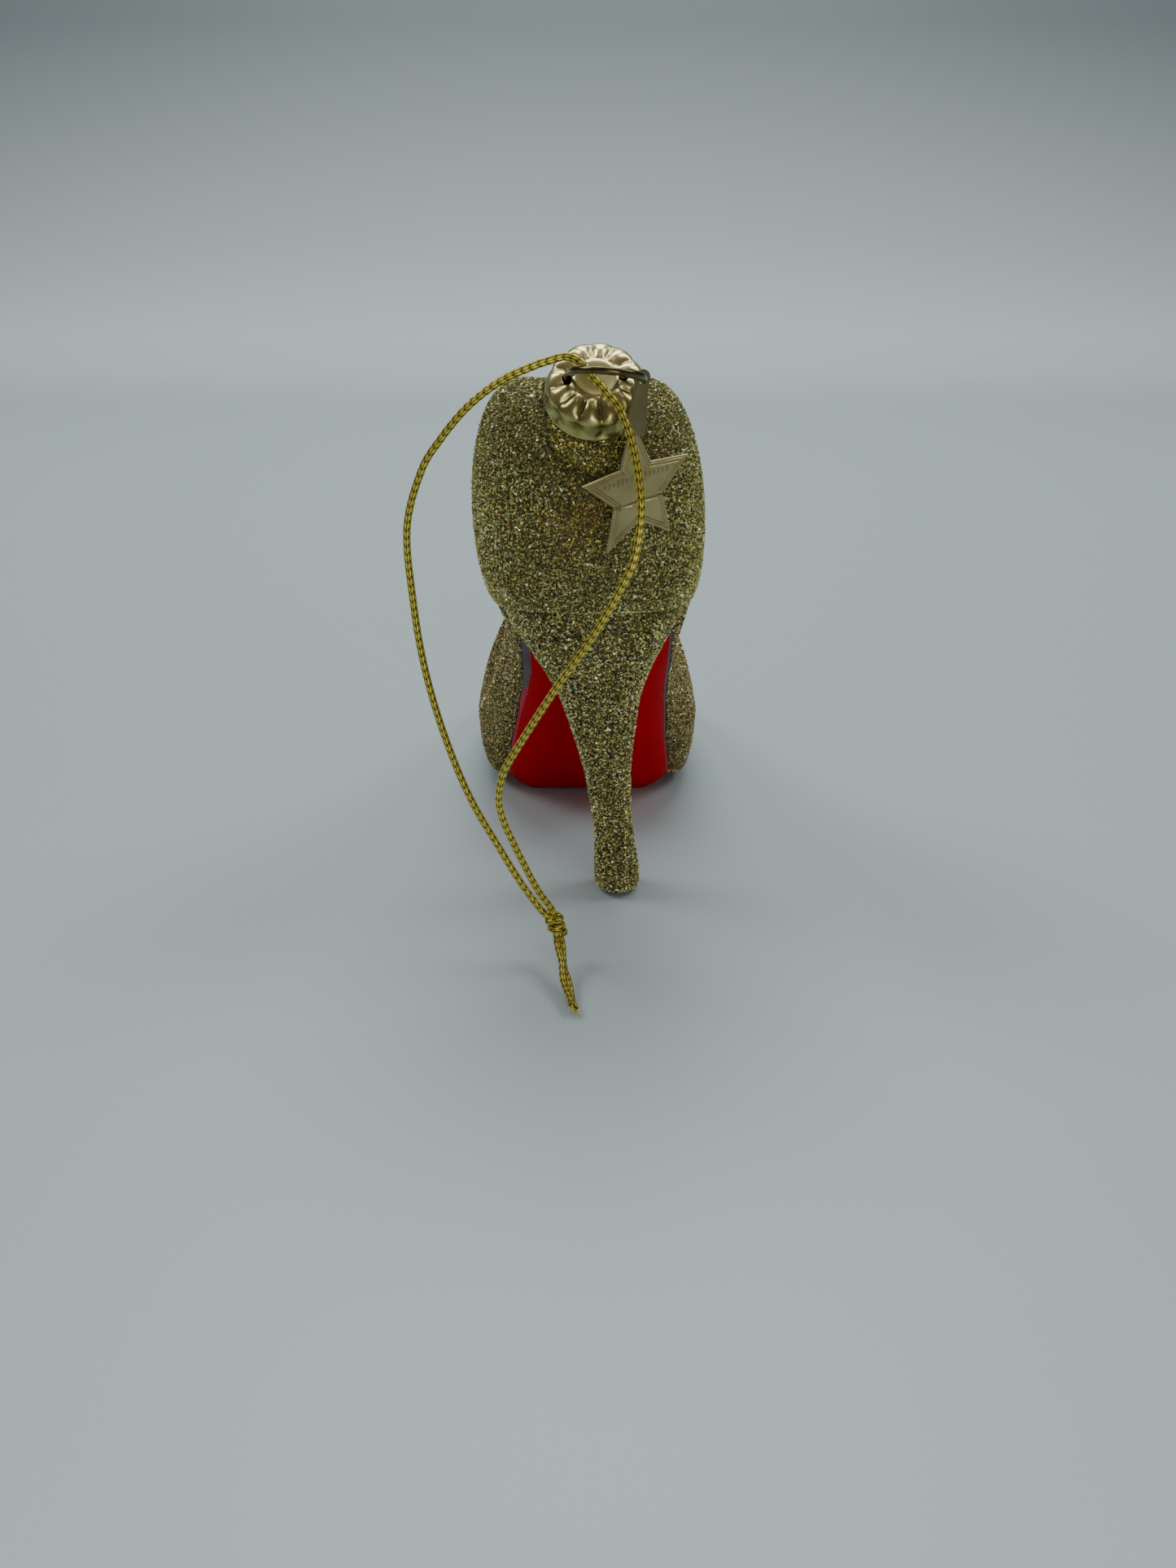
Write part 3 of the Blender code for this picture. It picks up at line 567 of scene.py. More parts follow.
sole_rings = [shoe_ring(sole_profile, share) for share in SOLE_SHARES]
upper_rings = [shoe_ring(edge_point)]
for step in range(1, LOWER_STEPS + 1):
    upper_rings.append(shoe_ring(lower_profile, step / LOWER_STEPS))
for step in range(1, UPPER_STEPS + 1):
    upper_rings.append(shoe_ring(upper_profile, step / UPPER_STEPS))
inner_rings = [shoe_ring(wall_profile, across, down) for across, down in WALL_SHARES]
inner_rings += [shoe_ring(floor_profile, share) for share in INSOLE_SHARES]
print("rings:", len(sole_rings), "on the sole,", len(upper_rings), "outside,", len(inner_rings), "inside")

# %% [markdown]
# A ring's own number says what it is made of: sole, upper, or inside. A part of the sole
# lies behind the heel, under the counter. It carries glitter like the heel around it. The sole's
# rim is painted with reflections: pink, wider high up and on the left, and grey above a certain
# height. Its last ring is a painted shadow line, where the glitter's edge shades the lacquer.

# %% Skin the shoe
HEEL_BREAST_PLACE = 5.0
# the last three finishes are painted light: a painted shadow line at the glitter's edge, then the purple
# grey and the pink painted reflections on the rim
GLITTER, LACQUER, PAINT, SHADOW_LINE, GREY_SHEEN, PINK_SHEEN = range(6)
# each pair is for the right side and then the left one
GREY_SHEEN_FROM = (11.5, 23.0)
SHEEN_HEIGHTS = (5, 18, 27, 33)
SHEEN_STARTS = ((0.965, 0.965, 0.95, 0.95), (0.95, 0.945, 0.885, 0.87))
SOLE_COUNT = len(sole_rings)
UPPER_COUNT = SOLE_COUNT + len(upper_rings)


def shoe_finish(number, middle):
    if number < SOLE_COUNT:
        if middle.y + HEEL_TO_BALL < HEEL_BREAST_PLACE:
            return GLITTER
        on_left = middle.x < smooth(middle_line, middle.y + HEEL_TO_BALL)
        # beyond its start the rim carries painted reflections, and its last ring is a painted shadow
        if SOLE_SHARES[number] < np.interp(middle.z, SHEEN_HEIGHTS, SHEEN_STARTS[on_left]):
            return LACQUER
        if number == SOLE_COUNT - 1:
            return SHADOW_LINE
        return GREY_SHEEN if middle.z > GREY_SHEEN_FROM[on_left] else PINK_SHEEN
    return GLITTER if number < UPPER_COUNT else PAINT


shoe_skin = skin("shoe_skin", sole_rings + upper_rings + inner_rings, False, shoe_finish)
dress(shoe_skin, "shoe", "glitter_glass", glitter_glue, red_lacquer, champagne_paint, edge_shadow,
      grey_sheen_paint, pink_sheen_paint)
print("shoe skin:", len(shoe_skin.data.polygons), "faces")

# %% [markdown]
# ## The heel
#
# The stiletto is drawn out of the same glass. It is a stack of ovals that lean to the right and
# back, with a small flare at the tip. The last bit of the tip has no glitter. Each of its
# measures is again a curve, this time read up the heel.

# %% Draw the heel's curves
HEEL_TOP = 43.0
NECK_WIDTH = 5.2
TIP_WIDTH = 6.2
TIP_FLAT = 2.0
TIP_LEAN = 4.3


def up_heel(*pairs):
    """Stations up the heel: (share of its height, value)."""
    return curve_through([share * HEEL_TOP for share, value in pairs], [value for share, value in pairs])


heel_half_width = up_heel((0, TIP_FLAT), (0.014, TIP_WIDTH * 0.444), (0.049, TIP_WIDTH / 2),
                          (0.133, TIP_WIDTH * 0.468), (0.221, NECK_WIDTH / 2), (0.412, NECK_WIDTH * 0.567),
                          (0.591, NECK_WIDTH * 0.808), (0.7, HEEL_TOP_WIDTH * 0.235),
                          (0.772, HEEL_TOP_WIDTH * 0.292), (0.872, HEEL_TOP_WIDTH * 0.4),
                          (0.937, HEEL_TOP_WIDTH * 0.469), (1, HEEL_TOP_WIDTH / 2))
heel_lean = up_heel((0, TIP_LEAN), (0.133, TIP_LEAN * 0.92), (0.412, TIP_LEAN * 0.65),
                    (0.591, TIP_LEAN * 0.48), (0.772, TIP_LEAN * 0.29), (0.937, TIP_LEAN * 0.14),
                    (1, TIP_LEAN * 0.07))
heel_rear = up_heel((0, -TIP_FLAT), (0.049, -TIP_WIDTH / 2), (0.221, NECK_WIDTH * -0.538),
                    (0.412, NECK_WIDTH * -0.692), (0.591, COUNTER_BACK * 0.445),
                    (0.772, COUNTER_BACK * 0.63), (0.937, COUNTER_BACK * 0.82), (1, COUNTER_BACK * 0.845))
heel_breast = up_heel((0, TIP_FLAT), (0.049, TIP_WIDTH / 2), (0.221, NECK_WIDTH * 0.462),
                      (0.412, NECK_WIDTH * 0.462), (0.591, NECK_WIDTH * 0.635),
                      (0.772, HEEL_TOP_WIDTH * 0.257), (0.937, HEEL_TOP_WIDTH * 0.372),
                      (1, HEEL_TOP_WIDTH * 0.407))
heel_tilt = up_heel((0, 0), (0.591, 0), (0.772, 0.14), (1, 0.32))
print("the heel's neck is", round(2 * smooth(heel_half_width, 0.221 * HEEL_TOP), 1), "mm wide")

# %% Stack the heel's rings
HEEL_SIDES = 64
HEEL_LAYERS = 90
HEEL_CROWDING = 1.3
BARE_TIP = 0.75


def heel_ring(height):
    rear = smooth(heel_rear, height)
    breast = smooth(heel_breast, height)
    ring = []
    for i in range(HEEL_SIDES):
        angle = 2 * math.pi * i / HEEL_SIDES
        forward = (breast - rear) / 2 * math.sin(angle)
        across = smooth(heel_lean, height) + smooth(heel_half_width, height) * math.cos(angle)
        place = (breast + rear) / 2 + forward - HEEL_TO_BALL
        ring.append(Vector((across, place, height - smooth(heel_tilt, height) * forward)) * MM)
    return ring


heel_heights = [HEEL_TOP * (i / HEEL_LAYERS) ** HEEL_CROWDING for i in range(HEEL_LAYERS + 1)]
shoe_heel = skin("shoe_heel", [heel_ring(height) for height in heel_heights],
                 finish_of=lambda number, middle: 1 if middle.z < BARE_TIP else 0)
dress(shoe_heel, "shoe", "glitter_glass", glitter_glue, bare_glass)
print("heel:", len(shoe_heel.data.polygons), "faces")

# %% [markdown]
# ## The glitter
#
# Coarse glitter is crushed foil glued to the glass. A bump map can't give its rough outline or
# its sparks, so every grain is a small four-sided chip, half sunk in the glue. Instances would
# be lighter, but real meshes keep each grain's own size and colour when the part is exported.

# %% Helpers for the grains


def glittered_triangles(piece, keep):
    """The glittered triangles of a piece whose middles keep() wants, in millimetres."""
    mesh = piece.data
    mesh.calc_loop_triangles()
    points = np.empty(len(mesh.vertices) * 3)
    mesh.vertices.foreach_get("co", points)
    points = points.reshape(-1, 3) / MM
    corners = np.array([tri.vertices[:] for tri in mesh.loop_triangles if tri.material_index == GLITTER])
    triangles = points[corners]
    return triangles[keep(triangles.mean(1))]


def random_turns(rng, count):
    """Random rotations, as matrices."""
    q = rng.normal(size=(count, 4))
    q /= np.linalg.norm(q, axis=1, keepdims=True)
    w, x, y, z = q.T
    entries = [1 - 2 * (y * y + z * z), 2 * (x * y - z * w), 2 * (x * z + y * w),
               2 * (x * y + z * w), 1 - 2 * (x * x + z * z), 2 * (y * z - x * w),
               2 * (x * z - y * w), 2 * (y * z + x * w), 1 - 2 * (x * x + y * y)]
    return np.stack(entries, 1).reshape(-1, 3, 3)


def paint_points(mesh, colours):
    """Stores a colour on each point of a mesh, for the finishes that are tinted."""
    tint = mesh.color_attributes.new("tint", "FLOAT_COLOR", "POINT")
    tint.data.foreach_set("color", np.concatenate([colours, np.ones((len(colours), 1))], 1).ravel())


whole_coat = glittered_triangles(shoe_skin, lambda middles: middles[:, 2] > 0)
print("the shoe has", len(whole_coat), "glittered triangles")

# %% [markdown]
# An even coat looks printed, so its tone wanders. Soft patches a centimetre wide are darker,
# the counter's top is painted darker as a painted shade, and one patch under the tag is rusty,
# where the glue has browned.

# %% Mottle the coat
PATCH_DEPTHS = np.array([0.17, 0.2, 0.3])
RUST_PLACE = (-0.5, 55.0)
RUST_RADIUS = 4.5
RUST_DEPTHS = np.array([0, 0.21, 0.43])
RUST_BEHIND = -45
# painted shade: the counter's top is darkened above a height
PAINTED_TOP_SHADE = 0.26
TOP_FROM = 56
TOP_FADE = 9
TOP_BEHIND = -42


def mottling(places):
    """What each place keeps of its red, green and blue."""
    x, y, z = places.T
    patch = (np.sin(0.55 * x + 0.31 * z + 1.0) * np.sin(0.42 * z - 0.25 * y + 0.3)
             * np.sin(0.38 * y + 0.2 * x + 2.0))
    patch = np.clip(0.5 + 0.9 * patch, 0, 1)[:, None]
    top = PAINTED_TOP_SHADE * np.clip((z - TOP_FROM) / TOP_FADE, 0, 1) * (y < TOP_BEHIND)
    from_rust = ((x - RUST_PLACE[0]) ** 2 + (z - RUST_PLACE[1]) ** 2) / RUST_RADIUS ** 2
    rust = np.exp(-from_rust) * (y < RUST_BEHIND)
    return (1 - patch * PATCH_DEPTHS) * (1 - rust[:, None] * RUST_DEPTHS) * (1 - top[:, None])


counter_spot = np.array([(RUST_PLACE[0], -57, RUST_PLACE[1])])
print("the rusty patch keeps", mottling(counter_spot)[0].round(2), "of its red, green and blue")

# %% [markdown]
# Each chip is turned at random and has one colour from a handful, mostly olive and champagne.
# A few chips are larger and painted near white: they are painted glints, the sparks. The grains'
# shade is painted light and shade: the counter's grains are painted brighter, and from the waist
# to the ball darker and a little redder, as a painted glow of the red sole. At the waist the
# colours lie furthest apart, so their spread and their painted shade are read from places along
# the shoe.

# %% Choose the grains' sizes and colours
GRAINS_PER_SQUARE_MM = 18
GRAIN_RADII = (0.225, 0.18, 0.135)
GRAIN_SIZES = (0.62, 1.25)
GRAIN_SINKING = (-0.02, 0.1)
GRAIN_SHADES = (0.7, 1.2)
GRAIN_COLOURS = (("ebe49c", 0.26), ("cfc87a", 0.3), ("a8a152", 0.18), ("464214", 0.12),
                 ("8c9f84", 0.08), ("b87c48", 0.03), ("faf4c8", 0.06))
# painted glints: the sparks are larger chips painted near white
SPARK_SHARE = 0.004
SPARK_SIZE = 1.7
SPARK_COLOUR = "fffbe2"
# painted light and shade along the shoe: brighter on the counter, darker and redder at the waist and ball
TONE_PLACES = (3, 8, 29, 35, 50, 56)
CONTRASTS = (0.85, 1.6, 1.6, 1.3, 1.3, 1.1)
PAINTED_SHADES = ((1.1, 0.83, 0.83, 0.76, 0.75, 0.92), (1.17, 0.76, 0.76, 0.71, 0.71, 0.89),
          (1.14, 0.79, 0.79, 0.72, 0.72, 0.84))

average = [round(float(sum(share * light(code)[i] for code, share in GRAIN_COLOURS)), 2) for i in range(3)]
print("a grain's average colour is", average)

# %% Find places and colours for grains


def strewn(triangles, rng):
    """Random places on triangles, and a little over or under them."""
    sides = np.cross(triangles[:, 1] - triangles[:, 0], triangles[:, 2] - triangles[:, 0])
    areas = np.linalg.norm(sides, axis=1) / 2
    count = int(areas.sum() * GRAINS_PER_SQUARE_MM)
    marks = (np.arange(count) + rng.random(count)) / count * areas.sum()
    chosen = np.searchsorted(np.cumsum(areas), marks).clip(0, len(areas) - 1)
    u, v = rng.random((2, count))
    over = u + v > 1
    u[over], v[over] = 1 - u[over], 1 - v[over]
    a, b, c = triangles[chosen].transpose(1, 0, 2)
    normals = sides[chosen] / (2 * areas[chosen, None])
    places = a + (b - a) * u[:, None] + (c - a) * v[:, None]
    return places + normals * rng.uniform(*GRAIN_SINKING, (count, 1))


def grain_colours(places, rng, contrast, shade):
    """One colour of the handful for each place, with its contrast and its painted light and shade."""
    shares = np.array([share for code, share in GRAIN_COLOURS])
    palette = np.array([light(code) for code, share in GRAIN_COLOURS])
    colours = palette[rng.choice(len(palette), len(places), p=shares / shares.sum())]
    brightness = colours.mean(1, keepdims=True) / (palette.mean(1) * shares).sum() * shares.sum()
    if contrast is None:
        along_shoe = places[:, 1] + HEEL_TO_BALL
        contrast = np.interp(along_shoe, TONE_PLACES, CONTRASTS)[:, None]
        shade = np.stack([np.interp(along_shoe, TONE_PLACES, values) for values in PAINTED_SHADES], 1)
    colours = colours * brightness ** (contrast - 1) * np.array(shade)
    return colours * rng.uniform(*GRAIN_SHADES, (len(places), 1)) * mottling(places)


one_triangle = np.array([[(0, 0, 0), (10, 0, 0), (0, 10, 0)]])
print("50 square mm get", len(strewn(one_triangle, np.random.default_rng(0))), "grains")

# %% Scatter grains on triangles
CHIP_POINTS = np.array([(1, 1, 1), (1, -1, -1), (-1, 1, -1), (-1, -1, 1)]) / math.sqrt(3)
CHIP_FACES = np.array([(0, 1, 2), (0, 3, 1), (0, 2, 3), (1, 3, 2)])


def scatter(name, triangles, seed, contrast=None, shade=None):
    """Scatters grains on triangles. contrast spreads their colours, and shade, a painted light and shade,
    weighs each channel.

    Where the two aren't given, they change smoothly along the shoe.
    """
    rng = np.random.default_rng(seed)
    places = strewn(triangles, rng)
    count = len(places)
    sizes = rng.uniform(*GRAIN_SIZES, (count, 1)) * np.array(GRAIN_RADII)
    sparks = rng.random(count) < SPARK_SHARE
    sizes[sparks] *= SPARK_SIZE
    chips = np.einsum("nij,nkj->nki", random_turns(rng, count), CHIP_POINTS * sizes[:, None])
    points = (places[:, None] + chips).reshape(-1, 3) * MM
    faces = (CHIP_FACES + len(CHIP_POINTS) * np.arange(count)[:, None, None]).reshape(-1, 3)
    mesh = bpy.data.meshes.new(name)
    mesh.from_pydata(points, [], faces)
    colours = grain_colours(places, rng, contrast, shade)
    colours[sparks] = light(SPARK_COLOUR)
    paint_points(mesh, np.repeat(colours.clip(0, 1), len(CHIP_POINTS), axis=0))
    piece = bpy.data.objects.new(name, mesh)
    bpy.context.collection.objects.link(piece)
    dress(piece, "shoe", "glitter_glass", glitter_grain)
    print(name + ":", count, "grains on", round(count / GRAINS_PER_SQUARE_MM), "square mm")
    return piece


print("a chip has", len(CHIP_FACES), "faces")

# %% Coat the shoe and the heel
SEAT_OVERLAP = 0.38
HEEL_SEED = 5


def between(back, front):
    """Tells which faces lie between two places along the shoe."""
    return lambda middles: (middles[:, 1] + HEEL_TO_BALL >= back) & (middles[:, 1] + HEEL_TO_BALL < front)


def below_seat(middles):
    """Heel faces that the shoe's own skin doesn't cover."""
    seat = np.array([smooth(edge_height, y + HEEL_TO_BALL) for y in middles[:, 1]])
    return (middles[:, 2] < seat - SEAT_OVERLAP) & (middles[:, 2] > BARE_TIP)


stretches = (("glitter_counter", -20, 6), ("glitter_waist", 6, 32), ("glitter_ball", 32, 52),
             ("glitter_toe", 52, 90))
for seed, (name, back, front) in enumerate(stretches, 1):
    scatter(name, glittered_triangles(shoe_skin, between(back, front)), seed)
# the heel's grains get a spread of their own and a little painted light
scatter("glitter_heel", glittered_triangles(shoe_heel, below_seat), HEEL_SEED, 1.9, (1.05, 1.07, 1.02))

# %% [markdown]
# ## The cap
#
# A sheet-metal crown sits over the glass neck. Its top is a small disc inside a ring of round
# lobes, which run on down the skirt as flutes to a smooth rolled lip. It leans back with the
# counter, so it is made in a frame of its own, whose Z axis points out of the neck.

# %% Place the cap's own frame
CAP_PLACE = Vector((0.87, COUNTER_BACK + 3.65 - HEEL_TO_BALL, RIM_HEIGHT - 1.4))
CAP_ELEVATION = math.radians(42)

cap_out = Vector((0, -math.cos(CAP_ELEVATION), math.sin(CAP_ELEVATION)))
cap_up = Vector((0, math.sin(CAP_ELEVATION), math.cos(CAP_ELEVATION)))
cap_axes = Matrix((Vector((1, 0, 0)), cap_up, cap_out)).transposed().to_4x4()
cap_frame = Matrix.Translation(CAP_PLACE * MM) @ cap_axes
print("the cap points", [round(share, 2) for share in cap_out])

# %% [markdown]
# The cap's profile is spun round the axis, and the valleys between the lobes are pressed in
# square to the sheet. A boolean with twelve cutters would leave sharp edges, and a die doesn't.

# %% Draw the cap's profile
CAP_LIP_RADIUS = 5.9
CAP_TOP_RADIUS = 5.55
CAP_HEIGHT = 3.4
CAP_DOME = 0.25
# radius, height and how much of the flutes' depth is pressed in there
cap_stations = [(0.02, CAP_HEIGHT + CAP_DOME, 0), (1.6, CAP_HEIGHT + CAP_DOME * 0.96, 0),
                (2.3, CAP_HEIGHT + CAP_DOME * 0.7, 0), (2.6, CAP_HEIGHT + 0.05, 0.1),
                (3.1, CAP_HEIGHT + 0.14, 0.8), (3.9, CAP_HEIGHT + 0.1, 1), (4.6, CAP_HEIGHT - 0.16, 0.9),
                (5.1, CAP_HEIGHT - 0.5, 0.5), (CAP_TOP_RADIUS - 0.08, CAP_HEIGHT - 0.95, 0.35),
                (CAP_TOP_RADIUS + 0.02, 1.9, 0.7), (CAP_TOP_RADIUS + 0.1, 1.15, 0.7),
                (CAP_LIP_RADIUS - 0.16, 0.68, 0.25), (CAP_LIP_RADIUS - 0.04, 0.42, 0.03),
                (CAP_LIP_RADIUS, 0.2, 0), (CAP_LIP_RADIUS - 0.1, 0.04, 0)]
print("the cap's profile has", len(cap_stations), "stations")

# %% Press the cap
CAP_SHEET = 0.35
CAP_STEP = 0.13
FLUTES = 12
FLUTE_DEPTH = 0.62
LOBE_ROUNDNESS = 0.75
CAP_SIDES = FLUTES * 18

cap_sheet = flowing([Vector(point) for point in cap_stations], CAP_STEP)
cap_tangents = np.gradient(cap_sheet[:, :2], axis=0)
cap_tangents /= np.linalg.norm(cap_tangents, axis=1, keepdims=True)


def lobe_at(angle):
    """1 on the crest of a lobe, 0 in the valley between two."""
    return abs(math.cos(FLUTES * angle / 2 + math.pi / 4)) ** LOBE_ROUNDNESS


def cap_ring(station, depth):
    """A ring of the cap's sheet, some depth under its outer face."""
    radius, height, share = cap_sheet[station]
    along_r, along_h = cap_tangents[station]
    ring = []
    for i in range(CAP_SIDES):
        angle = 2 * math.pi * i / CAP_SIDES
        pressed = depth + FLUTE_DEPTH * share * (1 - lobe_at(angle))
        r = max(radius + along_h * pressed, 0.01)
        point = Vector((r * math.cos(angle), r * math.sin(angle), height - along_r * pressed))
        ring.append(cap_frame @ (point * MM))
    return ring


stations = range(len(cap_sheet))
cap_rings = [cap_ring(i, 0) for i in stations] + [cap_ring(i, CAP_SHEET) for i in reversed(stations)]
cap_crown = skin("cap_crown", cap_rings)
print("cap:", len(cap_crown.data.polygons), "faces")

# %% [markdown]
# Two holes let the wire's legs through. The right leg bends a little where it passes the
# sheet, so its hole is moved with it.

# %% Punch the wire's holes
WIRE_LEG_SPREAD = 3.2
RIGHT_LEG_BEND = (-0.11, 0.15)
HOLE_RADIUS = 0.54
HOLE_SIDES = 32
HOLE_DEPTHS = (CAP_HEIGHT - 1.5, CAP_HEIGHT + 1)


def turned(name, profile, sides, place):
    """Turns a closed profile of (radius, height) about the place's Z axis."""
    rings = []
    for radius, height in profile:
        turns = [2 * math.pi * i / sides for i in range(sides)]
        corners = [Vector((radius * math.cos(a), radius * math.sin(a), height)) for a in turns]
        rings.append([place @ (corner * MM) for corner in corners])
    return skin(name, rings)


def cut(piece, *tools):
    """Cuts tools out of a piece for good, and deletes them."""
    for tool in tools:
        modifier = piece.modifiers.new("cut", "BOOLEAN")
        modifier.operation = "DIFFERENCE"
        modifier.solver = "EXACT"
        modifier.object = tool
    graph = bpy.context.evaluated_depsgraph_get()
    mesh = bpy.data.meshes.new_from_object(piece.evaluated_get(graph), depsgraph=graph)
    piece.modifiers.clear()
    piece.data = mesh
    for tool in tools:
        bpy.data.objects.remove(tool)


holes = []
for across, up in ((-WIRE_LEG_SPREAD, 0), (WIRE_LEG_SPREAD + RIGHT_LEG_BEND[0], RIGHT_LEG_BEND[1])):
    leg = cap_frame @ Matrix.Translation(Vector((across, up, 0)) * MM)
    holes.append(turned("hole", [(HOLE_RADIUS, depth) for depth in HOLE_DEPTHS], HOLE_SIDES, leg))
cut(cap_crown, *holes)
print("cap with its holes:", len(cap_crown.data.polygons), "faces")

# %% [markdown]
# The brass is painted darker: painted shade in the valleys between the lobes, and painted dark
# reflections on the skirt, on the disc and on the lower lobes. How much of the brass's colour is
# left is stored on the points of the mesh, and the power for each channel makes the painted dark
# places a little olive.

# %% Paint shade and dark reflections on the cap
# painted shade in the valleys, and painted dark reflections on the skirt, the disc and the lower lobes
VALLEY_SHADE = 0.5
SKIRT_DARK_REFLECTION = 0.45
DISC_DARK_REFLECTION = 0.6
LOWER_DARK_REFLECTION = 0.48
PAINTED_DARK_HUE = np.array([1, 1.03, 1.35])


def shine_left(spot):
    """What the painted shade and dark reflections leave of the brass's colour, at a place in the cap's own
    frame.
    """
    from_axis = math.hypot(spot.x, spot.y)
    in_valley = 1 - lobe_at(math.atan2(spot.y, spot.x))
    fluted = np.interp(from_axis, (2.4, 3.2), (0, 1)) * np.interp(spot.z, (0.5, 1), (0, 1))
    on_disc = np.interp(from_axis, (1.6, 3.0), (1, 0)) * np.interp(spot.z, (2, 3), (0, 1))
    blotch = 0.75 - 0.25 * math.sin(1.4 * spot.x + 0.8 * spot.y)
    dark_reflection = max(SKIRT_DARK_REFLECTION * np.interp(spot.z, (0.25, 0.5, 2, 2.8), (0, 1, 1, 0)),
               DISC_DARK_REFLECTION * on_disc * blotch,
               LOWER_DARK_REFLECTION * np.interp(spot.y, (-3.5, 0.5), (1, 0)))
    return (1 - VALLEY_SHADE * fluted * in_valley) * (1 - dark_reflection)


to_cap = cap_frame.inverted()
# the painted shade and reflections are stored on the cap's points
shine = np.array([shine_left((to_cap @ vertex.co) / MM) for vertex in cap_crown.data.vertices])
paint_points(cap_crown.data, shine[:, None] ** PAINTED_DARK_HUE)
print("the cap keeps", round(float(shine.mean()), 2), "of its shine on average")

# %% Mix the cap's metal


def mottled_and_shaded(tree, shader, *stops):
    """A mottled colour, darkened by the painted shade that the mesh carries, and on the star also by its
    patina.
    """
    mix = tree.nodes.new("ShaderNodeMix")
    mix.data_type = "RGBA"
    mix.blend_type = "MULTIPLY"
    mix.inputs["Factor"].default_value = 1
    tree.links.new(colour_ramp(tree, noise(tree, 300), *stops), mix.inputs["A"])
    tree.links.new(tinted(tree, shader).outputs["Color"], mix.inputs["B"])
    tree.links.new(mix.outputs["Result"], shader.inputs["Base Color"])


stamped_cap, tree, shader = finish("stamped_cap", Metallic=1.0, Roughness=0.29)
mottled_and_shaded(tree, shader, (0.3, "e6dd98"), (0.7, "faf5b8"))
bump(tree, shader, noise(tree, 800, detail=1.0), 0.05, 0.0002)
dress(cap_crown, "cap", "cap_metal", stamped_cap)
print("the cap is finished in", stamped_cap.name)

# %% [markdown]
# The glass neck stands inside the cap. It is a short tube, open at the top, and shows only
# through the cap's holes and at its lip.

# %% Turn the neck
NECK_RADIUS = 4.45
NECK_WALL = 0.5
NECK_TOP = CAP_HEIGHT - 1.4
NECK_FOOT = -4
NECK_FLOOR = -1.2
NECK_SIDES = 64

neck_profile = [(NECK_RADIUS, NECK_FOOT), (NECK_RADIUS, NECK_TOP),
                (NECK_RADIUS - NECK_WALL, NECK_TOP), (NECK_RADIUS - NECK_WALL, NECK_FLOOR)]
glass_neck = turned("glass_neck", neck_profile, NECK_SIDES, cap_frame)
dress(glass_neck, "shoe", "glitter_glass", bare_glass)
print("neck:", NECK_TOP - NECK_FOOT, "mm tall")

# %% [markdown]
# Under the lip the neck bulges out of the counter, and the bulge is glittered too. Its height
# over the counter fades outwards from the lip, so rays are cast on the skin to find the counter.
# The bulge is a chin: it is short beside the cap and at the top, where the foot opening is near.

# %% Find the counter under the cap
COLLAR_RADIUS = 5.35
COLLAR_TRIM = 0.6
COLLAR_REACH = 3.0
COLLAR_SIDE_REACH = 0.35
COLLAR_CHIN = 1.6
RAY_START = 6
DEEPEST = -5.0
counter_tree = BVHTree.FromObject(shoe_skin, bpy.context.evaluated_depsgraph_get())


def under_cap(radius, angle):
    """How high the counter lies in the cap's own frame, in millimetres."""
    start = cap_frame @ (Vector((radius * math.cos(angle), radius * math.sin(angle), RAY_START)) * MM)
    place = counter_tree.ray_cast(start, -cap_out)[0]
    return max((to_cap @ place).z / MM, DEEPEST) if place else DEEPEST


def collar_reach(angle):
    """How far the chin reaches out from the lip, which is most below the cap."""
    return COLLAR_SIDE_REACH + COLLAR_REACH * max(-math.sin(angle), 0) ** COLLAR_CHIN


drop = -under_cap(COLLAR_RADIUS, -math.pi / 2)
print("at the lip's lowest place the counter lies", round(drop, 1), "mm under it")

# %% Bulge the neck
COLLAR_TOP = -0.24
COLLAR_SINKING = 0.12
COLLAR_THICKNESS = 0.3
COLLAR_RINGS = 14
COLLAR_SIDES = 120
COLLAR_BULGE = 1.9
COLLAR_ROUNDNESS = 0.8


def collar_ring(share, lift):
    """A ring of the bulge: share 0 is at the lip and 1 on the counter."""
    ring = []
    for i in range(COLLAR_SIDES):
        angle = 2 * math.pi * i / COLLAR_SIDES
        radius = COLLAR_RADIUS - COLLAR_TRIM * max(math.sin(angle), 0) ** 2 + share * collar_reach(angle)
        low = under_cap(radius, angle) - COLLAR_SINKING
        height = low + (COLLAR_TOP - low) * (1 - share ** COLLAR_BULGE) ** COLLAR_ROUNDNESS + lift
        ring.append(cap_frame @ (Vector((radius * math.cos(angle), radius * math.sin(angle), height)) * MM))
    return ring


flare = [collar_ring(1 - i / COLLAR_RINGS, 0) for i in range(COLLAR_RINGS + 1)]
under_flare = [collar_ring(share, -COLLAR_THICKNESS) for share in (0, 0.5, 1)]
neck_collar = skin("neck_collar", flare + under_flare + flare[:1], False,
                   lambda number, middle: GLITTER if number < COLLAR_RINGS else 1)
dress(neck_collar, "shoe", "glitter_glass", glitter_glue, bare_glass)
print("neck's bulge:", len(neck_collar.data.polygons), "faces")

# %% [markdown]
# The bulge gets its own grains. It catches less light than the counter, so its grains are
# painted brighter as painted light, except at its foot, where painted shade darkens the crease
# that sets it off from the counter.

# %% Coat the bulge
COLLAR_SEED = 6
FOOT_SHADE = 0.75
FOOT_WIDTH = 0.45

collar_triangles = glittered_triangles(neck_collar, lambda middles: middles[:, 2] > 0)
collar_grains = scatter("glitter_collar", collar_triangles, COLLAR_SEED, 0.9, (1.6, 1.6, 1.25))
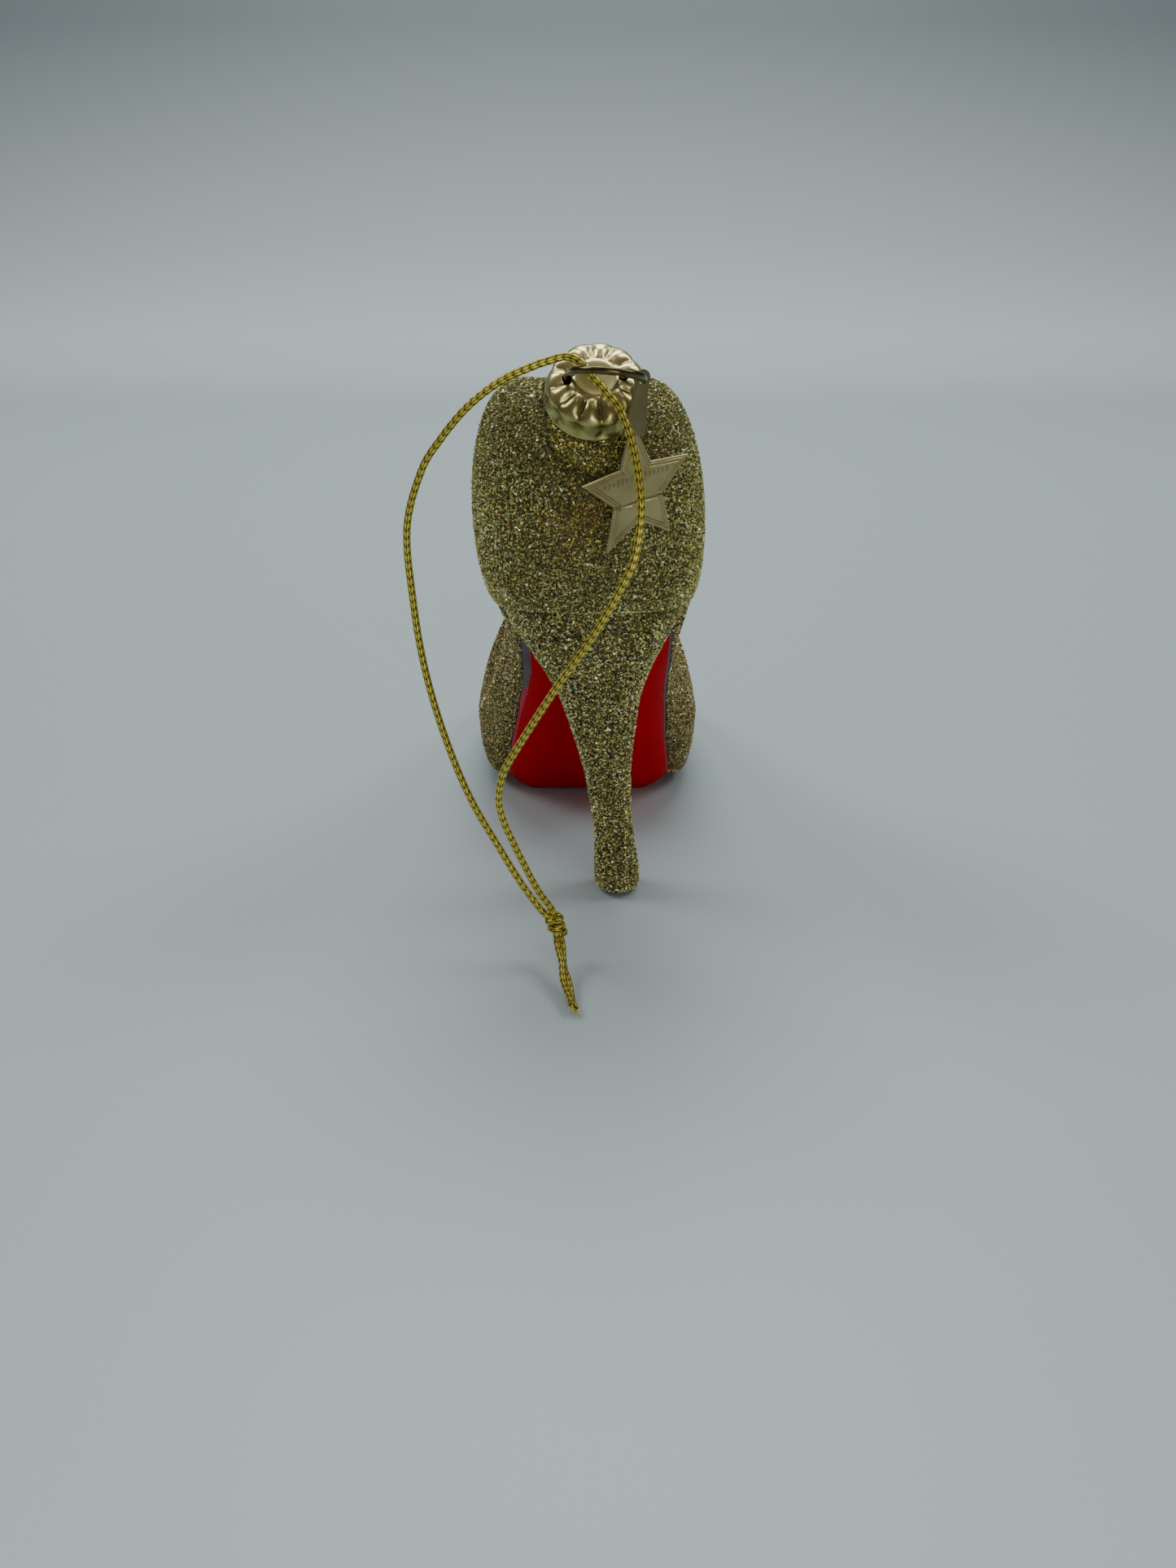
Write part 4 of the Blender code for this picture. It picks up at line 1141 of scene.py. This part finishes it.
# painted shade: the grains darken towards the crease at the bulge's foot
for vertex, tint in zip(collar_grains.data.vertices, collar_grains.data.color_attributes["tint"].data):
    spot = (to_cap @ vertex.co) / MM
    from_foot = math.hypot(spot.x, spot.y) - COLLAR_RADIUS - collar_reach(math.atan2(spot.y, spot.x))
    crease = 1 - FOOT_SHADE * math.exp(-(from_foot / FOOT_WIDTH) ** 2)
    tint.color = [channel * crease for channel in tint.color[:3]] + [1]
print("at its foot the bulge keeps", 1 - FOOT_SHADE, "of its light")

# %% [markdown]
# ## The hanger wire
#
# A springy wire has two legs that push out against the inside of the neck, and one round loop
# above the cap. A tube is swept along its route. A curve object with a bevel would do for the
# wire, but the cord needs its own relief all along, so one helper sweeps them both.

# %% Sweep a ring along a line


def frames_along(points):
    """Two directions square to a line at each of its points, turned as little as possible."""
    ahead = np.gradient(points, axis=0)
    ahead /= np.linalg.norm(ahead, axis=1, keepdims=True)
    side = np.cross(ahead[0], (0.3, 0.2, 0.93))
    sides = []
    for direction in ahead:
        side = side - direction * side.dot(direction)
        side = side / np.linalg.norm(side)
        sides.append(side)
    sides = np.array(sides)
    return sides, np.cross(ahead, sides)


def swept(name, points, radius_of, around):
    """Sweeps a ring along points. radius_of(distance, angle) gives its radii."""
    one, two = frames_along(points)
    distance = np.concatenate([[0], np.cumsum(np.linalg.norm(np.diff(points, axis=0), axis=1))])
    angle = np.arange(around) * 2 * math.pi / around
    radii = np.broadcast_to(radius_of(distance[:, None], angle[None]), (len(points), around))[..., None]
    rings = points[:, None] + radii * (np.cos(angle)[None, :, None] * one[:, None]
                                       + np.sin(angle)[None, :, None] * two[:, None])
    row, column = np.meshgrid(np.arange(len(points) - 1), np.arange(around), indexing="ij")
    start = row * around
    after = (column + 1) % around
    quads = np.stack([start + column, start + after, start + around + after, start + around + column], -1)
    faces = [tuple(face) for face in quads.reshape(-1, 4).tolist()]
    last = (len(points) - 1) * around
    faces += [tuple(range(around))[::-1], tuple(range(last, last + around))]
    mesh = bpy.data.meshes.new(name)
    mesh.from_pydata(rings.reshape(-1, 3) * MM, [], faces)
    mesh.shade_smooth()
    piece = bpy.data.objects.new(name, mesh)
    bpy.context.collection.objects.link(piece)
    return piece


turning = frames_along(cord_line)[0]
print("the ring's side turns along the cord from", turning[0].round(2), "to", turning[-1].round(2))

# %% [markdown]
# The wire rises from the left leg, goes round a little more than half a turn and comes down to
# the right leg. Its loop leans back over the cap and a little to the right, as in the photograph.

# %% Bend the wire
WIRE_DIAMETER = 0.8
WIRE_STEP = 0.2
WIRE_SIDES = 20
WIRE_LEG_DEPTH = 3.6
WIRE_GAP = 0.3
LOOP_RADIUS = 3.85
LOOP_RISE = 3.9
LOOP_LEAN = 1.2
LOOP_PITCH = math.radians(31)
LOOP_SLANT = 0.1
LOOP_CLOSING = 12
LOOP_STEPS = 12


def loop_point(degrees):
    """A place on the loop, in the cap's own frame, by its angle round the loop."""
    across = LOOP_LEAN + LOOP_RADIUS * math.cos(math.radians(degrees))
    rise = LOOP_RISE + LOOP_RADIUS * math.sin(math.radians(degrees))
    out = CAP_HEIGHT + CAP_DOME + WIRE_GAP + rise * math.cos(LOOP_PITCH)
    drop = rise * math.sin(LOOP_PITCH) + LOOP_SLANT * (across + WIRE_LEG_SPREAD)
    return Vector((across, -drop, out))


leg_foot = CAP_HEIGHT - WIRE_LEG_DEPTH
leg_top = CAP_HEIGHT + CAP_DOME + WIRE_GAP
wire_route = [Vector((-WIRE_LEG_SPREAD, 0, leg_foot)), Vector((-WIRE_LEG_SPREAD, 0, leg_top))]
wire_sweep = 180 + 2 * LOOP_CLOSING
wire_route += [loop_point(180 + LOOP_CLOSING - wire_sweep * i / LOOP_STEPS) for i in range(LOOP_STEPS + 1)]
wire_route += [Vector((WIRE_LEG_SPREAD, 0, leg_top)), Vector((WIRE_LEG_SPREAD, 0, leg_foot))]
wire_line = flowing([cap_frame @ (point * MM) / MM for point in wire_route], WIRE_STEP)
hanger = swept("hanger", wire_line, lambda distance, angle: WIRE_DIAMETER / 2, WIRE_SIDES)

drawn_wire, tree, shader = finish("drawn_wire", Metallic=1.0, Roughness=0.24)
coloured(tree, shader, noise(tree, 900), (0.3, "4a4429"), (0.7, "6f6744"))
dress(hanger, "hanger_wire", "wire_metal", drawn_wire)
print("wire:", round(length_of(wire_line), 1), "mm")

# %% [markdown]
# ## The star tag
#
# The tag is a star stamped from foil-faced sheet, with a tab that hangs from the loop's right
# side. It is drawn flat in a frame of its own, with its middle at the star's middle, and the
# frame hangs from the wire a little turned and tilted.

# %% Hang the tag's frame
TAG_YAW = math.radians(34)
TAG_TILT = math.radians(3)
TAG_HOOK_ANGLE = -12
TAB_REACH = 12.0
TAB_SHIFT = 0.1

hook = cap_frame @ (loop_point(TAG_HOOK_ANGLE) * MM)
tag_turn = Matrix.Rotation(TAG_YAW, 4, "Z") @ Matrix.Rotation(math.pi / 2 + TAG_TILT, 4, "X")
eye = Vector((-TAB_SHIFT, TAB_REACH))
tag_frame = Matrix.Translation(hook) @ tag_turn @ Matrix.Translation(-eye.to_3d() * MM)
to_tag = tag_frame.inverted()
print("the tag's middle is", round(tag_frame.translation.z / MM, 1), "mm high")

# %% Outline the star
TAG_RADIUS = 7.7
TAG_INNER = 0.46
TAG_TURN = math.radians(9)
STAR_ARMS = 5
STAR_STEPS = 24


def star_outline(share):
    """A five-pointed star, smaller by a share, with each side cut into steps."""
    tips = []
    for i in range(2 * STAR_ARMS):
        angle = math.pi / 2 + TAG_TURN + i * math.pi / STAR_ARMS
        radius = share * TAG_RADIUS * (1 if i % 2 == 0 else TAG_INNER)
        tips.append(Vector((radius * math.cos(angle), radius * math.sin(angle))))
    sides = zip(tips, tips[1:] + tips[:1])
    return [a.lerp(b, step / STAR_STEPS) for a, b in sides for step in range(STAR_STEPS)]


def star_share(x, y):
    """The share of the star's size whose outline passes through a place."""
    turn = (math.atan2(y, x) - math.pi / 2 - TAG_TURN) % (2 * math.pi / STAR_ARMS)
    turn = min(turn, 2 * math.pi / STAR_ARMS - turn)
    inner = TAG_INNER * TAG_RADIUS
    edge = inner * math.sin(math.pi / STAR_ARMS) * TAG_RADIUS
    edge /= inner * math.sin(math.pi / STAR_ARMS - turn) + TAG_RADIUS * math.sin(turn)
    return min(math.hypot(x, y) / edge, 1.0)


print("the star's outline has", len(star_outline(1)), "points")

# %% [markdown]
# The die left two raised borders along the star's edge and a row of shallow strokes. The tag was
# folded once, straight across, so its lower part leans back under a crease. All of it is a height
# that is added to the face, so one function can also say where the patina is dark on the borders
# and strokes, and where a painted shade darkens the face just under the crease.

# %% Fold the tag
FOLD_HEIGHT = -1.5
FOLD_SLOPE = 0.12


def bell(distance, width):
    """1 in the middle, and hardly anything beyond twice the width."""
    return math.exp(-(distance / width) ** 2)


def across_star(x, y):
    """A place on the tag, as seen square to the star's own upright axis."""
    across = x * math.cos(TAG_TURN) + y * math.sin(TAG_TURN)
    return across, y * math.cos(TAG_TURN) - x * math.sin(TAG_TURN)


def on_tag(x, y, z):
    """A point of the flat tag, after it was folded."""
    up = across_star(x, y)[1]
    return tag_frame @ (Vector((x, y, z - FOLD_SLOPE * max(FOLD_HEIGHT - up, 0.0))) * MM)


below_fold = FOLD_HEIGHT + TAG_RADIUS * math.cos(math.pi / STAR_ARMS)
print("the lower arms' tips lean back by", round(FOLD_SLOPE * below_fold, 2), "mm")

# %% Draw the tag's relief
CREASE_HEIGHT = 0.16
CREASE_WIDTH = 0.16
CREASE_DROP = 0.7
CREASE_SHADOW = 0.3
BORDERS = (0.9, 0.79)
BORDER_HEIGHT = 0.1
BORDER_WIDTH = 0.022
STROKE_START = -4.5
STROKE_PITCH = 0.62
STROKE_REACHES = (0.3, 0.42, 0.2, 0.36, 0.45, 0.25, 0.4, 0.3, 0.22, 0.44, 0.34, 0.26, 0.4, 0.3, 0.38)
STROKE_LINE = 1.45
STROKE_HEIGHT = 0.07
STROKE_WIDTH = 0.14
STROKE_SLANT = 0.2
STROKES_WITHIN = 0.74
DENT_HEIGHT = 0.05
BORDER_PATINA = 0.25
STROKE_PATINA = 0.4
CREASE_PAINTED_SHADE = 0.4


def stamped(x, y, share):
    """How high the star's face stands at a place, and how dark its patina and the painted shade under its
    crease are there.
    """
    across, up = across_star(x, y)
    border = max(bell(share - place, BORDER_WIDTH) for place in BORDERS)
    over_fold = up - FOLD_HEIGHT - 0.06 * math.sin(2.1 * across + 1)
    crease = bell(over_fold, CREASE_WIDTH) - CREASE_DROP * bell(over_fold - CREASE_SHADOW, CREASE_WIDTH)
    off_line = up - STROKE_LINE
    strokes = max(bell(across - STROKE_START - STROKE_PITCH * i - STROKE_SLANT * off_line, STROKE_WIDTH)
                  * math.exp(-(off_line / reach) ** 4) for i, reach in enumerate(STROKE_REACHES))
    strokes *= min(max((STROKES_WITHIN - share) / 0.08, 0), 1)
    dents = DENT_HEIGHT * math.sin(1.3 * x + 0.7) * math.sin(1.1 * y + 0.4)
    height = BORDER_HEIGHT * border + CREASE_HEIGHT * crease + STROKE_HEIGHT * strokes + dents
    shade = 1 - BORDER_PATINA * border - STROKE_PATINA * strokes
    # painted shade: the face is darkened just under the crease
    shade = shade - CREASE_PAINTED_SHADE * bell(up - FOLD_HEIGHT - CREASE_SHADOW, 0.18)
    return height * min((1 - share) / 0.05, 1), max(shade, 0.2)


on_border = stamped(0, TAG_RADIUS / 2, BORDERS[0])[0]
print("on its outer border the star's face stands", round(on_border, 2), "mm higher")

# %% [markdown]
# The star is skinned like the shoe, from the middle of its back over its edge to the middle of
# its face. The face's rings are fine enough for the relief, and its edge is kept sharp.

# %% Stamp the star
TAG_THICKNESS = 0.4
# the share of the star's size, and the height in thicknesses
BACK_RINGS = ((0.02, -0.5), (0.5, -0.5), (0.98, -0.5), (1, -0.4), (1, 0.3))
FACE_RINGS = 84
FACE_HEIGHT = 0.42
FACE_EDGE = 0.99
FACE_SPAN = 0.97
FACE_SHARP_ANGLE = math.radians(50)

star_rings = []
for share, height in BACK_RINGS:
    star_rings.append([on_tag(point.x, point.y, height * TAG_THICKNESS) for point in star_outline(share)])
for i in range(FACE_RINGS):
    share = FACE_EDGE - FACE_SPAN * i / (FACE_RINGS - 1)
    ring = []
    for point in star_outline(share):
        height = FACE_HEIGHT * TAG_THICKNESS + stamped(point.x, point.y, share)[0]
        ring.append(on_tag(point.x, point.y, height))
    star_rings.append(ring)
star_plate = skin("star_plate", star_rings)
star_plate.data.set_sharp_from_angle(angle=FACE_SHARP_ANGLE)
star_shades = []
for vertex in star_plate.data.vertices:
    flat = (to_tag @ vertex.co) / MM
    star_shades.append(stamped(flat.x, flat.y, star_share(flat.x, flat.y))[1])
paint_points(star_plate.data, np.repeat(np.array(star_shades)[:, None], 3, axis=1))
print("star:", len(star_plate.data.polygons), "faces")

# %% [markdown]
# The tab grows out of the star's top arm and ends in a round eye with a hole for the wire. It
# hangs in the shade of the cap, so it is painted darker than the star: a painted shade.

# %% Cut the tab
TAB_WIDTH = 3.0
TAB_ROOT = 0.8
TAB_SHADE = 0.5
TAB_SHARP_ANGLE = math.radians(35)
EYE_HOLE = 0.56
EYE_RADIUS = 0.98
EYE_TURN = math.pi / 5
EYE_STEPS = 24

tab_side = Vector((TAB_WIDTH / 2, 0))
arm = TAG_RADIUS * TAB_ROOT * Vector((-math.sin(TAG_TURN), math.cos(TAG_TURN)))
tab_outline = [arm + tab_side]
for i in range(EYE_STEPS + 1):
    angle = -EYE_TURN + (math.pi + 2 * EYE_TURN) * i / EYE_STEPS
    tab_outline.append(eye + EYE_RADIUS * Vector((math.cos(angle), math.sin(angle))))
tab_outline.append(arm - tab_side)
tab_rings = [[on_tag(point.x, point.y, height * TAG_THICKNESS) for point in tab_outline]
             for height in (-0.49, 0.49)]
star_tab = skin("star_tab", tab_rings)
eye_place = tag_frame @ Matrix.Translation(eye.to_3d() * MM)
eye_hole = turned("eye", [(EYE_HOLE, -1), (EYE_HOLE, 1)], HOLE_SIDES, eye_place)
cut(star_tab, eye_hole)
star_tab.data.set_sharp_from_angle(angle=TAB_SHARP_ANGLE)
# painted shade: the whole tab is darkened, as it hangs in the cap's shade
paint_points(star_tab.data, np.full((len(star_tab.data.vertices), 3), TAB_SHADE))
print("tab:", len(star_tab.data.polygons), "faces")

# %% Finish the tag
stamped_foil, tree, shader = finish("stamped_foil", Metallic=0.65, Roughness=0.38)
mottled_and_shaded(tree, shader, (0.3, "9f9462"), (0.7, "b6aa78"))
bump(tree, shader, noise(tree, 700), 0.25, 0.0003)
dress(star_plate, "star_tag", "tag_foil", stamped_foil)
dress(star_tab, "star_tag", "tag_foil", stamped_foil)
print("the tag is finished in", stamped_foil.name)

# %% [markdown]
# ## The cord
#
# A braid shows columns of small arrowheads where its strands cross. Sweeping every strand by
# itself would take millions of faces. So the arrowheads are pressed into the tube as real relief:
# its radius drops along V-shaped lines, and the colour there is painted dark as the grooves' shade.

# %% Helpers for a braid
BRAID_PITCH = 0.95
BRAID_COLUMNS = 4
BRAID_SLANT = 0.7
BRAID_AROUND = 24
BRAID_CORE = 0.76
BRAID_RELIEF = 0.27
# painted shade: the colour in the braid's grooves
GROOVE_SHADE_COLOUR = np.array(light("3f360c"))
THREAD_BRIGHT = np.array(light("f4e356"))


def braid_height(distance, angle):
    """0 in the grooves of the braid, 1 on its strands."""
    column = (angle * BRAID_COLUMNS / (2 * math.pi)) % 1.0
    across = np.abs(column - 0.5) * 2
    place = (distance / BRAID_PITCH + BRAID_SLANT * across) % 1.0
    strand = np.sqrt(1 - np.abs(2 * place - 1) ** 1.8)
    between_columns = np.minimum(across, 1 - across) * 2
    return strand * (0.4 + 0.6 * np.minimum(between_columns * 2.4, 1))


def braided(name, line, diameter, node, shade=1.0):
    """Sweeps a braid along a line. shade darkens its strands."""
    def radius_of(distance, angle):
        return diameter / 2 * (BRAID_CORE + BRAID_RELIEF * braid_height(distance, angle))
    piece = swept(name, line, radius_of, BRAID_AROUND)
    distance = np.arange(len(line)) * length_of(line) / (len(line) - 1)
    angle = np.arange(BRAID_AROUND) * 2 * math.pi / BRAID_AROUND
    heights = braid_height(distance[:, None], angle[None]).reshape(-1, 1)
    # the grooves are painted dark, as their shade
    shares = np.clip((heights - 0.42) / 0.5, 0, 1)
    paint_points(piece.data, GROOVE_SHADE_COLOUR + (THREAD_BRIGHT * shade - GROOVE_SHADE_COLOUR) * shares)
    return dress(piece, node, "gold_cord", gold_thread)


print("the strands stand", round(CORD_DIAMETER / 2 * BRAID_RELIEF, 2), "mm over their grooves")

# %% Braid the cord
gold_thread, tree, shader = finish("gold_thread", Metallic=0.55, Roughness=0.35)
tinted(tree, shader)
bump(tree, shader, noise(tree, 5000, detail=1.0), 0.3, 0.0001)

cord = braided("cord", cord_line, CORD_DIAMETER, "cord_loop")
print("cord:", len(cord.data.polygons), "faces")

# %% [markdown]
# The two ends are tied in one overhand knot. What shows of it is a steep wrap twice round the
# cord's own ends and a small bight over the top, so those are swept as one braided path.

# %% Tie the knot
KNOT_TURNS = 2.15
KNOT_RADIUS = 0.8
KNOT_RISE = 0.95
KNOT_SLANT = 0.28
KNOT_STEP = 0.09
KNOT_SHADE = 0.85

knot_down = Vector((0.27, -0.26, -0.93)).normalized()
knot_side = knot_down.cross(Vector((0, 1, 0))).normalized()
knot_front = knot_side.cross(knot_down)


def on_knot(turn, radius, down):
    """A place round the knot's middle, some way down along the cord's ends."""
    angle = 2 * math.pi * turn
    outwards = math.cos(angle) * knot_side + math.sin(angle) * knot_front
    return KNOT_PLACE + radius * outwards + down * knot_down


knot_route = [on_knot(0, 0.1, 1.2)]
for i in range(int(KNOT_TURNS * 10) + 1):
    turn = i / 10
    slant = KNOT_SLANT * math.cos(2 * math.pi * turn)
    knot_route.append(on_knot(turn, KNOT_RADIUS, 0.95 - KNOT_RISE * turn + slant))
knot_route += [on_knot(KNOT_TURNS + 0.12, 0.75, -1.45), on_knot(KNOT_TURNS + 0.3, 0.45, -1.75),
               on_knot(KNOT_TURNS + 0.5, 0.3, -1.3), on_knot(KNOT_TURNS + 0.5, 0.1, -0.6)]
knot = braided("knot", flowing(knot_route, KNOT_STEP), CORD_DIAMETER, "cord_knot", KNOT_SHADE)
print("knot:", round(length_of(flowing(knot_route, KNOT_STEP)), 1), "mm of cord")

# %% [markdown]
# Under the knot hang two short tails, side by side, and their ends rest on the table. They twist
# a little round each other along one common line. Loose threads stick out where they were cut.

# %% Leave two tails
TAIL_ROUTE = [Vector(point) for point in (
    (-3.9, -66.6, 3.6), (-3.6, -68.3, 2.7), (-3.2, -70.8, 1.6), (-2.6, -73.6, 0.8), (-2.0, -76.2, 0.5),
)]
TAIL_OFFSET = Vector((0.5, -0.1, 1.15))
TAIL_START = KNOT_PLACE + Vector((0.1, -0.6, -0.9)) + TAIL_OFFSET * 0.3
TAIL_DIAMETER = 0.86
TAIL_SWAY = 0.35
TAIL_SWAY_LENGTH = 6.0
TAIL_SPREAD = 0.38
TAIL_SHADE = 0.72

tail_lines = []
tail_core = flowing([TAIL_START] + [point + TAIL_OFFSET * 0.5 for point in TAIL_ROUTE], CORD_STEP)
tail_side, tail_up = frames_along(tail_core)
tail_twist = TAIL_SWAY * np.sin(np.arange(len(tail_core)) * CORD_STEP * 2 * math.pi / TAIL_SWAY_LENGTH)
for name, node, phase in (("tail_lower", "cord_tail_lower", 0), ("tail_upper", "cord_tail_upper", math.pi)):
    turn = (tail_twist + phase)[:, None]
    tail_line = tail_core + TAIL_SPREAD * (np.cos(turn) * tail_side + np.sin(turn) * tail_up)
    tail_line[:, 2] = np.maximum(tail_line[:, 2], TAIL_DIAMETER / 2 + 0.02)
    braided(name, tail_line, TAIL_DIAMETER, node, TAIL_SHADE)
    tail_lines.append(tail_line)
print("the tails are", round(length_of(tail_core), 1), "mm long")

# %% Fray the tails' ends
FRAY_SEED = 8
FRAY_THREADS = 14
FRAY_LENGTH = 0.9
FRAY_UNEVENNESS = (0.6, 1.1)
FRAY_ROOT = 0.3
FRAY_SPREAD = 0.14
FRAY_SPLAY = 0.35
FRAY_BEND = 0.06
FRAY_LOWEST = 0.06
FRAY_DIAMETER = 0.07
FRAY_STEP = 0.2
FRAY_SIDES = 5


def loose_threads(line, rng):
    """Routes for the threads that stick out where a braid's line ends."""
    ahead = line[-1] - line[-6]
    ahead /= np.linalg.norm(ahead)
    threads = []
    for i in range(FRAY_THREADS):
        away = rng.normal(size=3) * FRAY_SPLAY
        root = line[-1] + rng.normal(size=3) * FRAY_SPREAD - ahead * FRAY_ROOT
        tip = root + (ahead + away) * FRAY_LENGTH * rng.uniform(*FRAY_UNEVENNESS)
        tip[2] = max(tip[2], FRAY_LOWEST)
        root[2] = max(root[2], FRAY_LOWEST + 0.02)
        middle = (root + tip) / 2 + rng.normal(size=3) * FRAY_BEND
        middle[2] = max(middle[2], FRAY_LOWEST)
        threads.append([Vector(root), Vector(middle), Vector(tip)])
    return threads


rng = np.random.default_rng(FRAY_SEED)
hairs = []
for thread in loose_threads(tail_lines[0], rng) + loose_threads(tail_lines[1], rng):
    hair_line = flowing(thread, FRAY_STEP, fineness=6)
    hairs.append(swept("hair", hair_line, lambda distance, angle: FRAY_DIAMETER / 2, FRAY_SIDES))
print("loose threads:", len(hairs))

# %% [markdown]
# The loose threads are joined into one piece, which takes the gold thread's finish. Then the
# cord's length is printed.

FRAY_SHADE = 0.9


def joined(name, parts):
    """Makes one piece of several."""
    bm = bmesh.new()
    for part in parts:
        bm.from_mesh(part.data)
        bpy.data.objects.remove(part)
    mesh = bpy.data.meshes.new(name)
    bm.to_mesh(mesh)
    bm.free()
    mesh.shade_smooth()
    piece = bpy.data.objects.new(name, mesh)
    bpy.context.collection.objects.link(piece)
    return piece


fray = joined("fray", hairs)
paint_points(fray.data, np.tile(THREAD_BRIGHT * FRAY_SHADE, (len(fray.data.vertices), 1)))
fray.data.materials.append(gold_thread)
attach(fray, "root")
print("the cord is declared:", round(length_of(cord_line)), "mm")

# %% [markdown]
# ## The studio
#
# The shoe stands on a sheet of pale paper that sweeps up behind it, so that no edge of the
# table shows. The sheet's colour carries painted shade: it darkens higher up the sweep, and the
# flat floor is a little darker than the sweep's foot.

# %% Sweep the paper
SWEEP_START = 0.5
SWEEP_RADIUS = 0.7
SWEEP_STEPS = 32
PAPER_FRONT = -1.5
PAPER_TOP = 2.5
PAPER_HALF_WIDTH = 3

profile = [(PAPER_FRONT, 0.0), (SWEEP_START, 0.0)]
for i in range(1, SWEEP_STEPS + 1):
    a = math.pi / 2 * i / SWEEP_STEPS
    profile.append((SWEEP_START + SWEEP_RADIUS * math.sin(a), SWEEP_RADIUS * (1 - math.cos(a))))
profile.append((SWEEP_START + SWEEP_RADIUS, PAPER_TOP))
points = [(x, y, z) for y, z in profile for x in (-PAPER_HALF_WIDTH, PAPER_HALF_WIDTH)]
strips = [(2 * i, 2 * i + 1, 2 * i + 3, 2 * i + 2) for i in range(len(profile) - 1)]
paper_mesh = bpy.data.meshes.new("paper")
paper_mesh.from_pydata(points, [], strips)
paper_mesh.shade_smooth()
paper = bpy.data.objects.new("paper", paper_mesh)
bpy.context.collection.objects.link(paper)
pale_paper, tree, shader = finish("pale_paper", Roughness=0.4)
place = tree.nodes.new("ShaderNodeTexCoord")
height = tree.nodes.new("ShaderNodeSeparateXYZ")
tree.links.new(place.outputs["Object"], height.inputs["Vector"])
# painted shade: the paper's colour darkens with height up the sweep
coloured(tree, shader, height.outputs["Z"], (0.0, "b7c8cc"), (0.012, "c9dbdf"), (0.03, "cee1e6"),
         (0.09, "bfced1"), (0.28, "8e9da0"))
paper.data.materials.append(pale_paper)
print("the paper has", len(strips), "strips")

# %% [markdown]
# The main light hangs above and behind the shoe, so its back is soft and the floor in front of
# it is bright. One light stands high on each side, and the shoe throws a soft shadow to both
# sides. A low window behind the camera wakes the glitter, and a small glow from above the camera
# is there for the cap. The room itself is dim and a little rosy, which gives the metal contrast.

# %% Hang the lights
ROOM_COLOUR = (0.76, 0.62, 0.65, 1)
ROOM_STRENGTH = 0.22


def soft_light(name, place, aim, size, power, colour):
    """A rectangular light that is aimed at a place; places in metres and power in watts."""
    data = bpy.data.lights.new(name, "AREA")
    data.shape = "RECTANGLE"
    data.size, data.size_y = size
    data.energy = power
    data.color = colour
    lamp = bpy.data.objects.new(name, data)
    lamp.location = place
    lamp.rotation_euler = (Vector(aim) - Vector(place)).to_track_quat("-Z", "Y").to_euler()
    bpy.context.collection.objects.link(lamp)


# where it hangs, where it aims, its two sides, its power and its colour
soft_light("overhead", (0.0, 0.55, 1.1), (0, 0, 0), (0.9, 0.6), 8.7, (0.98, 1.0, 0.97))
soft_light("window", (0.15, -0.8, 0.14), (0, 0, 0.05), (0.3, 0.2), 1.0, (1.0, 1.0, 0.95))
soft_light("left", (-0.62, 0.1, 0.8), (0, 0, 0.03), (0.35, 0.35), 2.4, (0.97, 1.0, 0.98))
soft_light("right", (0.62, 0.1, 0.8), (0, 0, 0.03), (0.35, 0.35), 2.0, (0.97, 1.0, 0.98))
soft_light("ceiling", (0.12, -0.5, 1.1), (0, -0.05, 0.07), (0.3, 0.3), 0.3, (1.0, 0.99, 0.94))
studio = bpy.data.worlds.new("studio")
studio.use_nodes = True
studio.node_tree.nodes["Background"].inputs["Color"].default_value = ROOM_COLOUR
studio.node_tree.nodes["Background"].inputs["Strength"].default_value = ROOM_STRENGTH
bpy.context.scene.world = studio
print("the studio has", len(bpy.data.lights), "lights")
